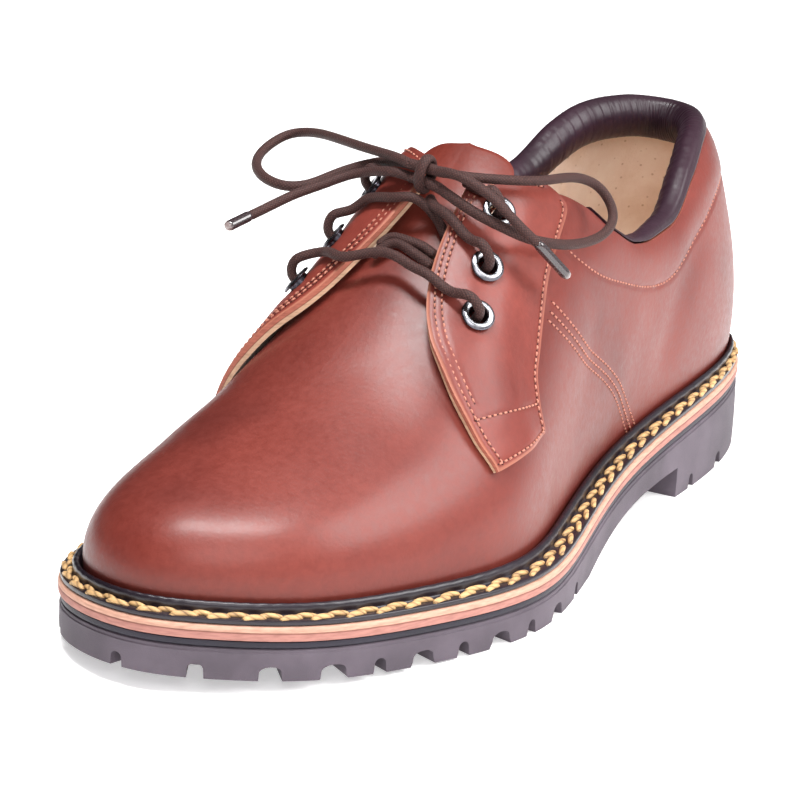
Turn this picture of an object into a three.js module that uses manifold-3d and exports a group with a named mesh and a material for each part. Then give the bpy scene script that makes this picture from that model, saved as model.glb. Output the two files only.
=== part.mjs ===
// Low lace-up shoe for the left foot, on a welted and cleated sole. Units are millimetres.
// The toe points along -Y, the outer side of the foot is +X, up is +Z. The origin is on the ground under the
// middle of the sole's outline.
//
// A place on the shoe is given by s and t. s runs round the shoe: 0 at the heel's back, 1 to 9 along the outer
// side, 10 at the toe's tip, 11 to 19 back along the inner side. t runs up a rib of the last, from 0 at the sole
// to 1 on the comb, which is the line over the middle of the last from the heel to the toe.
import * as THREE from 'three';
import { mergeVertices } from 'three/addons/utils/BufferGeometryUtils.js';
import Module from 'manifold-3d';

const wasm = await Module();
wasm.setup();

// Driving sizes of the whole shoe
const soleLength = 300;
const ballWidth = 117;
const heelSeat = 27.3;
const ballSeat = 15;
const toeSpring = 5.1;
const instepHeight = 117;
const clearance = 0.3;

// Sole, from the top down
const welt = { shelf: 8.5, rise: 4.4, beadWidth: 2.5, strapThickness: 1.5, edgeInset: 0.7 };
const midsoleThickness = 4;
const rubberThickness = 1.7;
const heelBreastAlong = 80;
const treadStartAlong = 157;
const treadEndAlong = 204;
const archHeight = 9.5;
const cleatHeight = 4.4;
const cleatGap = 6.8;
const soleSideDraft = 0.4;
const treadGroove = { width: 4.5, pitch: 18, depth: 3.4, edgeBand: 17 };

// Upper and what is sewn to it
const upperWall = 2.4;
const insoleThickness = 3;
const facing = { thickness: 2.4, standOff: 2.6 };
const tongue = { thickness: 2.2, sunk: 0.3, topShare: 0.497, sideBack: 5, cornerDrop: 0.35 };
const collarRoll = { height: 5.4, depth: 8.6, width: 9.2 };
const eyelet = { flangeRadius: 5.4, barrelRadius: 3.5, holeRadius: 2.9, flangeHeight: 1.3, sides: 12 };
const eyeletSeat = 0.8;
const laceDiameter = 3;
const laceSides = 8;
const agletDiameter = 3.4;
const knot = { across: 4.4, radius: 3.8 };

// Deck: height of the middle sole's top along the shoe, as shares of the heel seat above the ball and of the spring
const deckRows = [
  { along: 0.00, heel: 1.00, spring: 0.00 },
  { along: 0.18, heel: 0.93, spring: 0.00 },
  { along: 0.37, heel: 0.55, spring: 0.00 },
  { along: 0.55, heel: 0.12, spring: 0.00 },
  { along: 0.68, heel: 0.00, spring: 0.00 },
  { along: 0.80, heel: 0.00, spring: 0.15 },
  { along: 0.92, heel: 0.00, spring: 0.57 },
  { along: 1.00, heel: 0.00, spring: 1.00 },
];

// Comb of the last: along in shares of the sole's length, height in shares of the instep's height over the ball seat
const combRows = [
  { along: 0.067, height: 0.949 },
  { along: 0.167, height: 0.991 },
  { along: 0.300, height: 1.000 },
  { along: 0.400, height: 0.974 },
  { along: 0.467, height: 0.927 },
  { along: 0.507, height: 0.876 },
  { along: 0.540, height: 0.812 },
  { along: 0.580, height: 0.726 },
  { along: 0.627, height: 0.624 },
  { along: 0.680, height: 0.513 },
  { along: 0.737, height: 0.415 },
  { along: 0.800, height: 0.346 },
  { along: 0.873, height: 0.282 },
  { along: 0.967, height: 0.162 },
];

// Ribs of the last, one row for each whole s. along, across: the sole's edge, in shares of the sole's length and of
// half the ball's width. shelf: share of the welt's shelf. endAlong, endAcross: the rib's end on the comb. bulge,
// rise: first handle of the rib, out and up. reach, drop: last handle, out and down. The lengths across are shares
// of half the ball's width, the heights are shares of the instep's height.
const ribColumns = [
  'along', 'across', 'shelf', 'endAlong', 'endAcross', 'bulge', 'rise', 'reach', 'drop',
];
const ribRows = [
  [0.000, -0.02, 0.53, 0.147, 0.000, 0.130, 0.270, 0.444, 0.034],
  [0.027, 0.34, 0.53, 0.163, 0.000, 0.130, 0.270, 0.479, 0.034],
  [0.130, 0.56, 0.65, 0.207, 0.000, 0.120, 0.290, 0.547, 0.034],
  [0.253, 0.64, 0.82, 0.300, 0.000, 0.085, 0.291, 0.581, 0.034],
  [0.400, 0.71, 0.94, 0.407, 0.000, 0.068, 0.291, 0.615, 0.034],
  [0.547, 0.89, 1.00, 0.507, 0.000, 0.051, 0.291, 0.615, 0.034],
  [0.677, 1.01, 1.00, 0.600, -0.017, 0.051, 0.274, 0.547, 0.026],
  [0.804, 0.84, 0.94, 0.687, -0.051, 0.068, 0.256, 0.513, 0.009],
  [0.907, 0.58, 0.88, 0.753, -0.085, 0.085, 0.239, 0.513, 0.000],
  [0.970, 0.24, 0.88, 0.793, -0.103, 0.085, 0.222, 0.513, 0.000],
  [1.000, -0.12, 0.88, 0.807, -0.103, 0.085, 0.222, 0.479, 0.000],
  [0.980, -0.53, 0.82, 0.793, -0.103, 0.085, 0.222, 0.479, 0.000],
  [0.909, -0.83, 0.82, 0.753, -0.085, 0.068, 0.239, 0.513, 0.000],
  [0.786, -0.96, 0.82, 0.687, -0.051, 0.051, 0.256, 0.530, 0.009],
  [0.668, -0.94, 0.88, 0.600, -0.017, 0.051, 0.274, 0.547, 0.026],
  [0.533, -0.73, 0.88, 0.507, 0.000, 0.068, 0.291, 0.615, 0.034],
  [0.400, -0.57, 0.88, 0.407, 0.000, 0.085, 0.308, 0.581, 0.034],
  [0.250, -0.58, 0.76, 0.300, 0.000, 0.103, 0.308, 0.547, 0.034],
  [0.127, -0.60, 0.65, 0.207, 0.000, 0.120, 0.290, 0.513, 0.034],
  [0.026, -0.38, 0.53, 0.163, 0.000, 0.130, 0.270, 0.462, 0.034],
];
const around = ribRows.length;
const toeTip = around / 2;

// Topline and throat: share of the rib where the upper ends, from the heel's back to the vamp's point
const toplineRows = [
  { s: 0.00, outer: 0.640, inner: 0.640 },
  { s: 1.00, outer: 0.630, inner: 0.645 },
  { s: 1.55, outer: 0.615, inner: 0.635 },
  { s: 2.00, outer: 0.590, inner: 0.615 },
  { s: 2.50, outer: 0.525, inner: 0.570 },
  { s: 3.05, outer: 0.450, inner: 0.510 },
  { s: 3.35, outer: 0.448, inner: 0.505 },
  { s: 3.60, outer: 0.463, inner: 0.515 },
  { s: 3.90, outer: 0.525, inner: 0.560 },
  { s: 4.20, outer: 0.620, inner: 0.630 },
  { s: 4.50, outer: 0.700, inner: 0.700 },
  { s: 5.00, outer: 0.780, inner: 0.780 },
  { s: 5.70, outer: 0.840, inner: 0.840 },
  { s: 5.90, outer: 0.860, inner: 0.860 },
  { s: 5.96, outer: 0.900, inner: 0.900 },
  { s: 6.00, outer: 1.000, inner: 1.000 },
];

// Facing outline from its top edge (down 0) to its point (down 1): s of the front edge with its t on the outer and
// on the inner side of the foot, s and t of the rear edge
const facingRows = [
  { down: 0.00, frontS: 5.28, outerT: 0.900, innerT: 0.985, rearS: 4.58, rearT: 0.735 },
  { down: 0.12, frontS: 5.58, outerT: 0.888, innerT: 0.978, rearS: 4.46, rearT: 0.660 },
  { down: 0.24, frontS: 5.83, outerT: 0.872, innerT: 0.945, rearS: 4.66, rearT: 0.615 },
  { down: 0.37, frontS: 6.08, outerT: 0.838, innerT: 0.880, rearS: 4.90, rearT: 0.575 },
  { down: 0.50, frontS: 6.28, outerT: 0.775, innerT: 0.810, rearS: 5.08, rearT: 0.525 },
  { down: 0.62, frontS: 6.38, outerT: 0.690, innerT: 0.730, rearS: 5.24, rearT: 0.475 },
  { down: 0.74, frontS: 6.40, outerT: 0.590, innerT: 0.620, rearS: 5.38, rearT: 0.425 },
  { down: 0.87, frontS: 6.34, outerT: 0.440, innerT: 0.460, rearS: 5.42, rearT: 0.360 },
  { down: 1.00, frontS: 6.20, outerT: 0.310, innerT: 0.320, rearS: 5.40, rearT: 0.300 },
];

// Eyelets in a facing, from the top one down: s and t
const eyeletRows = [
  { s: 5.20, t: 0.790 },
  { s: 5.56, t: 0.733 },
  { s: 5.88, t: 0.670 },
];

// Lace strands where they cross the gap between the facings: s, t, and how high they run, from 0 on the tongue to
// 1 on the facings
const barRows = [
  { s: 14.15, t: 0.763, high: 1.02 },
  { s: 13.98, t: 0.830, high: 1.05 },
  { s: 13.85, t: 0.888, high: 1.00 },
  { s: 13.76, t: 1.000, high: 0.80 },
  { s: 6.14, t: 0.900, high: 0.95 },
  { s: 6.07, t: 0.835, high: 1.05 },
  { s: 6.00, t: 0.763, high: 1.02 },
];
const lowerCrossRows = [
  [
    { s: 14.02, t: 0.935, high: 0.05 },
    { s: 14.05, t: 0.960, high: 0.05 },
    { s: 6.00, t: 0.988, high: 0.05 },
    { s: 5.92, t: 0.930, high: 0.05 },
    { s: 5.88, t: 0.885, high: 0.02 },
  ],
  [
    { s: 13.92, t: 0.932, high: 0.05 },
    { s: 13.96, t: 0.985, high: 0.05 },
    { s: 6.03, t: 0.960, high: 0.05 },
    { s: 5.99, t: 0.910, high: 0.05 },
    { s: 5.96, t: 0.875, high: 0.05 },
  ],
];
const upperCrossRows = [
  [
    { s: 14.52, t: 0.795, high: 1.05 },
    { s: 14.52, t: 0.840, high: 1.03 },
    { s: 14.45, t: 0.890, high: 1.02 },
    { s: 14.33, t: 0.955, high: 1.12 },
    { s: 14.29, t: 1.000, high: 0.90 },
    { s: 5.66, t: 0.950, high: 0.14 },
    { s: 5.67, t: 0.912, high: 0.02 },
  ],
  [
    { s: 5.58, t: 0.800, high: 1.15 },
    { s: 5.60, t: 0.840, high: 1.03 },
    { s: 5.61, t: 0.893, high: 1.04 },
    { s: 5.63, t: 0.940, high: 0.75 },
    { s: 5.60, t: 0.975, high: 0.45 },
  ],
];
const riseRows = {
  lateral: [
    { s: 5.22, t: 0.845, high: 1.03 },
    { s: 5.30, t: 0.900, high: 1.03 },
  ],
  medial: [
    { s: 14.79, t: 0.845, high: 1.03 },
  ],
};

// Cords of the bow, by hand, in millimetres
const knotCentre = [-0.3, -22.7, 112.9];
const loopMedialPoints = [
  [-5.2, -23.0, 115.2],
  [-10.0, -21.4, 115.8],
  [-16.0, -18.4, 115.6],
  [-25.9, -14.1, 115.2],
  [-39.4, -7.0, 114.5],
  [-53.3, 0.2, 113.0],
  [-60.4, -0.4, 111.5],
  [-62.6, -6.5, 109.5],
  [-61.6, -14.3, 107.5],
  [-56.1, -23.1, 106.0],
  [-48.4, -28.6, 105.0],
  [-41.8, -29.2, 104.5],
  [-37.1, -25.7, 105.0],
  [-33.9, -18.8, 106.6],
  [-29.4, -13.8, 108.7],
  [-22.3, -12.6, 111.1],
  [-15.2, -15.4, 113.0],
  [-9.6, -18.1, 113.9],
  [-5.4, -19.5, 113.9],
];
const endMedialPoints = [
  [-5.3, -22.3, 111.2],
  [-9.3, -22.6, 111.9],
  [-12.9, -22.6, 111.9],
  [-18.9, -21.3, 110.6],
  [-25.3, -22.4, 108.9],
  [-30.6, -28.0, 106.5],
  [-35.8, -34.2, 104.0],
  [-39.4, -41.0, 101.5],
  [-42.0, -47.2, 99.5],
];
const agletMedialPoints = [
  [-42.2, -47.6, 99.4],
  [-44.6, -54.6, 97.4],
];
const loopLateralPoints = [
  [4.7, -20.6, 113.7],
  [11.4, -20.5, 113.6],
  [19.0, -14.6, 112.8],
  [25.7, -4.6, 111.6],
  [28.6, 5.8, 110.9],
  [30.3, 13.9, 109.0],
  [32.8, 18.6, 105.7],
  [35.9, 19.6, 100.9],
  [37.9, 16.5, 97.1],
  [38.0, 11.0, 94.8],
  [37.0, 5.0, 94.0],
  [35.4, -4.1, 94.7],
  [32.8, -12.8, 96.7],
  [29.9, -20.0, 99.4],
  [25.3, -24.3, 102.4],
  [19.0, -26.6, 105.3],
  [11.2, -26.0, 108.2],
  [5.0, -23.9, 109.9],
];
const endLateralPoints = [
  [4.3, -24.1, 114.7],
  [10.5, -25.9, 115.2],
  [17.0, -26.4, 113.7],
  [23.6, -25.8, 110.1],
  [30.4, -24.4, 103.9],
  [34.8, -21.4, 98.9],
];
const agletLateralPoints = [
  [35.2, -21.0, 98.3],
  [39.8, -12.4, 88.4],
];

// Gaps between the cleats: place round the sole and share of the wide gap's width
const cleatGaps = [
  { s: 5.22, share: 0.47 },
  { s: 5.67, share: 0.91 },
  { s: 6.07, share: 0.50 },
  { s: 6.40, share: 1.00 },
  { s: 6.74, share: 0.53 },
  { s: 7.09, share: 1.03 },
  { s: 7.47, share: 0.56 },
  { s: 7.89, share: 1.12 },
  { s: 8.48, share: 0.94 },
  { s: 9.24, share: 0.68 },
  { s: 10.20, share: 0.56 },
  { s: 11.50, share: 0.74 },
  { s: 12.20, share: 0.94 },
  { s: 12.75, share: 0.56 },
  { s: 13.20, share: 1.03 },
  { s: 13.60, share: 0.53 },
  { s: 13.98, share: 1.00 },
  { s: 14.36, share: 0.50 },
  { s: 14.75, share: 0.91 },
];
const heelGaps = [
  { s: 2.81, share: 0.47 },
  { s: 2.14, share: 0.74 },
  { s: 1.25, share: 0.50 },
  { s: 0.00, share: 0.74 },
  { s: 18.75, share: 0.50 },
  { s: 17.86, share: 0.74 },
  { s: 17.19, share: 0.47 },
];

// Curves through tables

function solveDense(matrix, right) {
  const n = right.length;
  const rows = matrix.map((row, i) => [...row, right[i]]);
  for (let i = 0; i < n; i++) {
    for (let k = i + 1; k < n; k++) {
      const factor = rows[k][i] / rows[i][i];
      for (let j = i; j <= n; j++) rows[k][j] -= factor * rows[i][j];
    }
  }
  const out = new Array(n).fill(0);
  for (let i = n - 1; i >= 0; i--) {
    let sum = rows[i][n];
    for (let j = i + 1; j < n; j++) sum -= rows[i][j] * out[j];
    out[i] = sum / rows[i][i];
  }
  return out;
}

// Closed cubic spline with one value for each whole s
function closedSpline(values) {
  const n = values.length;
  const matrix = values.map((_, i) => values.map((__, j) => {
    const step = Math.min((i - j + n) % n, (j - i + n) % n);
    return [4, 1][step] ?? 0;
  }));
  const right = values.map((v, i) => 6 * (values[(i + 1) % n] - 2 * v + values[(i + n - 1) % n]));
  const bend = solveDense(matrix, right);
  return (s) => {
    const wrapped = ((s % n) + n) % n;
    const i = Math.floor(wrapped) % n;
    const j = (i + 1) % n;
    const f = wrapped - Math.floor(wrapped);
    const g = 1 - f;
    return values[i] * g + values[j] * f + (g ** 3 - g) * bend[i] / 6 + (f ** 3 - f) * bend[j] / 6;
  };
}

// Open cubic spline with free ends, as a function of x, straight beyond its ends
function openSpline(xs, ys) {
  const n = xs.length;
  const matrix = xs.map(() => new Array(n).fill(0));
  const right = new Array(n).fill(0);
  matrix[0][0] = 1;
  matrix[n - 1][n - 1] = 1;
  for (let i = 1; i < n - 1; i++) {
    const before = xs[i] - xs[i - 1];
    const after = xs[i + 1] - xs[i];
    matrix[i][i - 1] = before;
    matrix[i][i] = 2 * (before + after);
    matrix[i][i + 1] = after;
    right[i] = 6 * ((ys[i + 1] - ys[i]) / after - (ys[i] - ys[i - 1]) / before);
  }
  const bend = solveDense(matrix, right);
  return (x) => {
    let i = 0;
    while (i < n - 2 && x > xs[i + 1]) i++;
    const h = xs[i + 1] - xs[i];
    const f = THREE.MathUtils.clamp((x - xs[i]) / h, 0, 1);
    const g = 1 - f;
    const inside = ys[i] * g + ys[i + 1] * f
      + ((g ** 3 - g) * bend[i] + (f ** 3 - f) * bend[i + 1]) * h * h / 6;
    const endSlope = f === 0
      ? (ys[1] - ys[0]) / (xs[1] - xs[0]) - bend[1] * (xs[1] - xs[0]) / 6
      : (ys[n - 1] - ys[n - 2]) / (xs[n - 1] - xs[n - 2]) + bend[n - 2] * (xs[n - 1] - xs[n - 2]) / 6;
    const beyond = x < xs[0] ? x - xs[0] : Math.max(0, x - xs[n - 1]);
    return inside + endSlope * beyond;
  };
}

// Curve without overshoot through rising xs, level where the values turn
function steadyCurve(xs, ys) {
  const slopes = xs.slice(1).map((x, i) => (ys[i + 1] - ys[i]) / (x - xs[i]));
  const tangents = xs.map((_, i) => {
    const before = slopes[Math.max(0, i - 1)];
    const after = slopes[Math.min(slopes.length - 1, i)];
    return before * after <= 0 ? 0 : 2 * before * after / (before + after);
  });
  return (x) => {
    let i = 0;
    while (i < xs.length - 2 && x > xs[i + 1]) i++;
    const h = xs[i + 1] - xs[i];
    const f = THREE.MathUtils.clamp((x - xs[i]) / h, 0, 1);
    return (2 * f ** 3 - 3 * f ** 2 + 1) * ys[i] + (f ** 3 - 2 * f ** 2 + f) * h * tangents[i]
      + (3 * f ** 2 - 2 * f ** 3) * ys[i + 1] + (f ** 3 - f ** 2) * h * tangents[i + 1];
  };
}

const column = (rows, name) => rows.map((row) => row[name]);
const lerp = THREE.MathUtils.lerp;
const smoothstep = THREE.MathUtils.smoothstep;

const rib = Object.fromEntries(ribColumns.map((name, i) => [name, closedSpline(ribRows.map((row) => row[i]))]));
const deckHeight = openSpline(
  deckRows.map((row) => row.along * soleLength),
  deckRows.map((row) => ballSeat + row.heel * (heelSeat - ballSeat) + row.spring * toeSpring),
);
const combHeight = openSpline(
  combRows.map((row) => row.along * soleLength),
  combRows.map((row) => ballSeat + row.height * instepHeight),
);
const topOuter = steadyCurve(column(toplineRows, 's'), column(toplineRows, 'outer'));
const topInner = steadyCurve(column(toplineRows, 's'), column(toplineRows, 'inner'));
const vampPoint = toplineRows.at(-1).s;

// Share of the rib at s where the upper's wall ends
function topShare(s) {
  const wrapped = ((s % around) + around) % around;
  if (wrapped <= toeTip) return wrapped >= vampPoint ? 1 : topOuter(wrapped);
  return around - wrapped >= vampPoint ? 1 : topInner(around - wrapped);
}

// The last. Places are [along from the heel, across to the outer side, height] until they go into a mesh.

function soleEdge(s) {
  return [rib.along(s) * soleLength, rib.across(s) * ballWidth / 2];
}

// Outward direction of the sole's edge in plan
function edgeNormal(s) {
  const step = 1e-3;
  const [u1, w1] = soleEdge(s - step);
  const [u2, w2] = soleEdge(s + step);
  const size = Math.hypot(u2 - u1, w2 - w1);
  return [-(w2 - w1) / size, (u2 - u1) / size];
}

// Point in plan on the sole's edge moved in by inset
function insetEdge(s, inset) {
  const [u, w] = soleEdge(s);
  const [nu, nw] = edgeNormal(s);
  return [u - nu * inset, w - nw * inset];
}

const shelfWidth = (s) => rib.shelf(s) * welt.shelf;

// Point of the last's surface, a cubic Bezier rib from the feather edge to the comb
function lastPoint(s, t) {
  const [fu, fw] = insetEdge(s, shelfWidth(s));
  const fz = deckHeight(fu) + clearance;
  const [ou, ow] = edgeNormal(s);
  const half = ballWidth / 2;
  const eu = rib.endAlong(s) * soleLength;
  const ew = rib.endAcross(s) * half;
  const ez = combHeight(eu);
  const size = Math.hypot(fu - eu, fw - ew);
  const [du, dw] = [(fu - eu) / size, (fw - ew) / size];
  const slope = (combHeight(eu + 0.5) - combHeight(eu - 0.5));
  const bulge = rib.bulge(s) * half;
  const reach = rib.reach(s) * half;
  const handles = [
    [fu, fw, fz],
    [fu + ou * bulge, fw + ow * bulge, fz + rib.rise(s) * instepHeight],
    [eu + du * reach, ew + dw * reach, ez - rib.drop(s) * instepHeight + slope * du * reach],
    [eu, ew, ez],
  ];
  const g = 1 - t;
  const weights = [g ** 3, 3 * g * g * t, 3 * g * t * t, t ** 3];
  return [0, 1, 2].map((k) => handles.reduce((sum, handle, i) => sum + weights[i] * handle[k], 0));
}

// Places in plan of the sole's edge give the shift that puts the origin under the middle of the outline
const edgeSteps = 64;
const edgeWidths = Array.from({ length: edgeSteps }, (_, i) => soleEdge(i * around / edgeSteps)[1]);
const middleAcross = (Math.max(...edgeWidths) + Math.min(...edgeWidths)) / 2;
const edgeLengths = Array.from({ length: edgeSteps }, (_, i) => soleEdge(i * around / edgeSteps)[0]);
const middleAlong = (Math.max(...edgeLengths) + Math.min(...edgeLengths)) / 2;

const toShoe = ([u, w, z]) => new THREE.Vector3(w - middleAcross, middleAlong - u, z);
const mirrored = (s) => around - s;

function rawNormal(s, t) {
  const step = 0.02;
  const up = toShoe(lastPoint(s, Math.min(1, t + step))).sub(toShoe(lastPoint(s, Math.max(0, t - step))));
  const ahead = toShoe(lastPoint(s + step, t)).sub(toShoe(lastPoint(s - step, t)));
  return up.cross(ahead).normalize();
}

// Outward normal of the last. On the comb, both sides share the mean of their normals.
function lastNormal(s, t) {
  const nearComb = 0.97;
  const normal = rawNormal(s, Math.min(t, nearComb));
  if (t > nearComb) {
    normal.lerp(normal.clone().add(rawNormal(mirrored(s), nearComb)).normalize(), (t - nearComb) / (1 - nearComb));
  }
  return normal.normalize();
}

// Point at a height over the last's surface, below it where lift is negative
function skin(s, t, lift = 0) {
  return toShoe(lastPoint(s, t)).addScaledVector(lastNormal(s, t), lift);
}

// Meshes

// One closed body from grids of points: welds shared corners, drops cells without area and takes out the pairs of
// cells that lie back to back inside the body.
function bodyFromGrids(grids) {
  const points = [];
  const indexOf = new Map();
  const weld = (p) => {
    const key = [p.x, p.y, p.z].map((value) => Math.round(value * 1e4)).join(' ');
    if (!indexOf.has(key)) {
      indexOf.set(key, points.length);
      points.push(p);
    }
    return indexOf.get(key);
  };
  const cells = new Map();
  for (const grid of grids) {
    const ids = grid.map((row) => row.map(weld));
    for (let i = 0; i < ids.length - 1; i++) {
      for (let j = 0; j < ids[i].length - 1; j++) {
        const corners = [ids[i][j], ids[i + 1][j], ids[i + 1][j + 1], ids[i][j + 1]];
        const ring = corners.filter((id, k) => id !== corners[(k + 1) % 4]);
        if (new Set(ring).size < 3) continue;
        const key = [...ring].sort((a, b) => a - b).join(' ');
        if (cells.has(key)) cells.delete(key);
        else cells.set(key, ring);
      }
    }
  }
  const index = [];
  for (const ring of cells.values()) {
    for (let k = 1; k < ring.length - 1; k++) index.push(ring[0], ring[k], ring[k + 1]);
  }
  let volume = 0;
  for (let k = 0; k < index.length; k += 3) {
    volume += points[index[k]].dot(points[index[k + 1]].clone().cross(points[index[k + 2]]));
  }
  if (volume < 0) index.reverse();
  const geometry = new THREE.BufferGeometry();
  geometry.setAttribute('position', new THREE.Float32BufferAttribute(points.flatMap((p) => p.toArray()), 3));
  geometry.setIndex(index);
  geometry.computeVertexNormals();
  return geometry;
}

// Slab between two grids of the same size, closed along all four borders
function slab(outer, inner) {
  const last = outer.length - 1;
  const end = outer[0].length - 1;
  const edge = (grid, j) => grid.map((row) => row[j]);
  return bodyFromGrids([
    outer,
    [...inner].reverse(),
    [inner[0], outer[0]],
    [outer[last], inner[last]],
    [edge(outer, 0), edge(inner, 0)],
    [edge(inner, end), edge(outer, end)],
  ]);
}

const span = (from, to, steps) => Array.from({ length: steps + 1 }, (_, i) => lerp(from, to, i / steps));

// Closed ring whose section is a list of points for each s
function ringBody(sectionAt, steps) {
  const rows = span(0, around, steps).map((s) => {
    const section = sectionAt(s);
    return [...section, section[0]];
  });
  return bodyFromGrids([rows]);
}

// Bar whose section is a list of points for each s, closed by caps at both ends
function barBody(sectionAt, stations) {
  const rows = stations.map((s) => {
    const section = sectionAt(s);
    return [...section, section[0]];
  });
  const cap = (row) => {
    const middle = row.slice(0, -1).reduce((sum, p) => sum.add(p), new THREE.Vector3()).divideScalar(row.length - 1);
    return row.map(() => middle);
  };
  return bodyFromGrids([rows, [cap(rows[0]), rows[0]], [rows.at(-1), cap(rows.at(-1))]]);
}

// Tube of round section along points
function cordTube(points, diameter, steps) {
  const section = new THREE.Shape(Array.from({ length: laceSides }, (_, i) => {
    const angle = i * 2 * Math.PI / laceSides;
    return new THREE.Vector2(Math.cos(angle), Math.sin(angle)).multiplyScalar(diameter / 2);
  }));
  const extrudePath = points.length > 2
    ? new THREE.CatmullRomCurve3(points, false, 'centripetal')
    : new THREE.LineCurve3(...points);
  return new THREE.ExtrudeGeometry(section, { steps, bevelEnabled: false, extrudePath });
}

// Sole layer: rings from its top to its bottom, each with its inset from the sole's edge and its height along
function soleLayer(rings) {
  const loops = rings.map((ring) => span(0, around, edgeSteps).map((s) => {
    const [u, w] = insetEdge(s, ring.inset(s));
    return toShoe([u, w, ring.height(u)]);
  }));
  const cap = (ring) => span(0, toeTip, edgeSteps / 2).map((s) => {
    const [u1, w1] = insetEdge(s, ring.inset(s));
    const [u2, w2] = insetEdge(mirrored(s), ring.inset(mirrored(s)));
    return [0, 0.5, 1].map((f) => {
      const u = lerp(u1, u2, f);
      return toShoe([u, lerp(w1, w2, f), ring.height(u)]);
    });
  });
  return bodyFromGrids([loops, cap(rings[0]), [...cap(rings.at(-1))].reverse()]);
}

function toSolid(geometry) {
  const bare = geometry.clone();
  bare.deleteAttribute('normal');
  bare.deleteAttribute('uv');
  const merged = mergeVertices(bare, 1e-4);
  return new wasm.Manifold(new wasm.Mesh({
    numProp: 3,
    vertProperties: new Float32Array(merged.attributes.position.array),
    triVerts: new Uint32Array(merged.index.array),
  }));
}

function toGeometry(solid) {
  const { vertProperties, triVerts } = solid.getMesh();
  const geometry = new THREE.BufferGeometry();
  geometry.setAttribute('position', new THREE.BufferAttribute(vertProperties, 3));
  geometry.setIndex(new THREE.BufferAttribute(triVerts, 1));
  geometry.computeVertexNormals();
  return geometry;
}

function joinAll(geometries) {
  return toGeometry(geometries.map(toSolid).reduce((joined, solid) => joined.add(solid)));
}

function subtractAll(geometry, cutters) {
  return toGeometry(cutters.reduce((solid, cutter) => solid.subtract(toSolid(cutter)), toSolid(geometry)));
}

// Box of the given size along its own x, y and z, turned about z and moved
function placedBox(size, angle, centre) {
  return new THREE.BoxGeometry(...size).rotateZ(angle).translate(centre.x, centre.y, centre.z);
}

// Materials
const looks = {
  leather: { color: 0xa5574b, roughness: 0.42, metalness: 0 },
  facingLeather: { color: 0xa8594c, roughness: 0.42, metalness: 0 },
  collarLeather: { color: 0x46343a, roughness: 0.5, metalness: 0 },
  welt: { color: 0x2b2630, roughness: 0.45, metalness: 0 },
  naturalLeather: { color: 0xe2b596, roughness: 0.6, metalness: 0 },
  darkRubber: { color: 0x3c3a4a, roughness: 0.7, metalness: 0 },
  rubber: { color: 0x6a5c66, roughness: 0.85, metalness: 0 },
  insole: { color: 0xcfae88, roughness: 0.8, metalness: 0 },
  nickel: { color: 0x8d8f94, roughness: 0.3, metalness: 1 },
  lace: { color: 0x513c3c, roughness: 0.7, metalness: 0 },
  aglet: { color: 0xb9a9a4, roughness: 0.3, metalness: 0 },
};

const group = new THREE.Group();

function addPiece(name, geometry, look) {
  const mesh = new THREE.Mesh(geometry, new THREE.MeshStandardMaterial(looks[look]));
  mesh.name = name;
  group.add(mesh);
  return mesh;
}

// Sole

const midsoleBottom = (u) => deckHeight(u) - midsoleThickness;
const rubberTop = (u) => midsoleBottom(u) - clearance;
const rubberBottom = (u) => rubberTop(u) - rubberThickness;
const outsoleTop = (u) => rubberBottom(u) - clearance;

function makeMidsole() {
  const edgeRound = 0.6;
  return soleLayer([
    { inset: () => edgeRound, height: deckHeight },
    { inset: () => 0, height: (u) => deckHeight(u) - edgeRound },
    { inset: () => 0, height: midsoleBottom },
  ]);
}

function makeRubberMidsole() {
  const edgeInset = 0.7;
  return soleLayer([
    { inset: () => edgeInset, height: rubberTop },
    { inset: () => edgeInset, height: rubberBottom },
  ]);
}

// Height of the outsole's underside without its cleats' gaps: heel, arch, flat tread, toe spring
function treadHeight(u) {
  if (u > treadEndAlong) return Math.max(0, deckHeight(u) - ballSeat);
  if (u < heelBreastAlong || u > treadStartAlong) return 0;
  const f = (u - heelBreastAlong) / (treadStartAlong - heelBreastAlong);
  return archHeight * (1 - f * f);
}

// Side profile of what lies under the outsole, drawn along the shoe and extruded across it
function underCutter() {
  const below = 10;
  const margin = 20;
  const stations = [
    ...span(heelBreastAlong, treadStartAlong, 6),
    ...span(treadEndAlong, soleLength, 5),
  ];
  const outline = [[-margin, -below], [-margin, 0], [heelBreastAlong, 0]];
  for (const u of stations) outline.push([u, treadHeight(u + 1e-6)]);
  outline.push([soleLength + margin, treadHeight(soleLength) + 1], [soleLength + margin, -below]);
  const shape = new THREE.Shape(outline.map(([u, z]) => new THREE.Vector2(u, z)));
  const depth = 2 * ballWidth;
  const geometry = new THREE.ExtrudeGeometry(shape, { depth, bevelEnabled: false });
  const matrix = new THREE.Matrix4().makeBasis(
    new THREE.Vector3(0, -1, 0),
    new THREE.Vector3(0, 0, 1),
    new THREE.Vector3(-1, 0, 0),
  );
  return geometry.applyMatrix4(matrix).translate(depth / 2, middleAlong, 0);
}

// Gap in the sole's rim at s, running in from the edge
function rimGap({ s, share }, reach) {
  const [u, w] = insetEdge(s, reach / 2);
  const [nu, nw] = edgeNormal(s);
  const low = -2;
  const top = treadHeight(soleEdge(s)[0]) + cleatHeight;
  const centre = toShoe([u, w, (top + low) / 2]);
  const overhang = 6;
  return placedBox([reach + overhang, share * cleatGap, top - low], Math.atan2(-nu, nw), centre);
}

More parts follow.
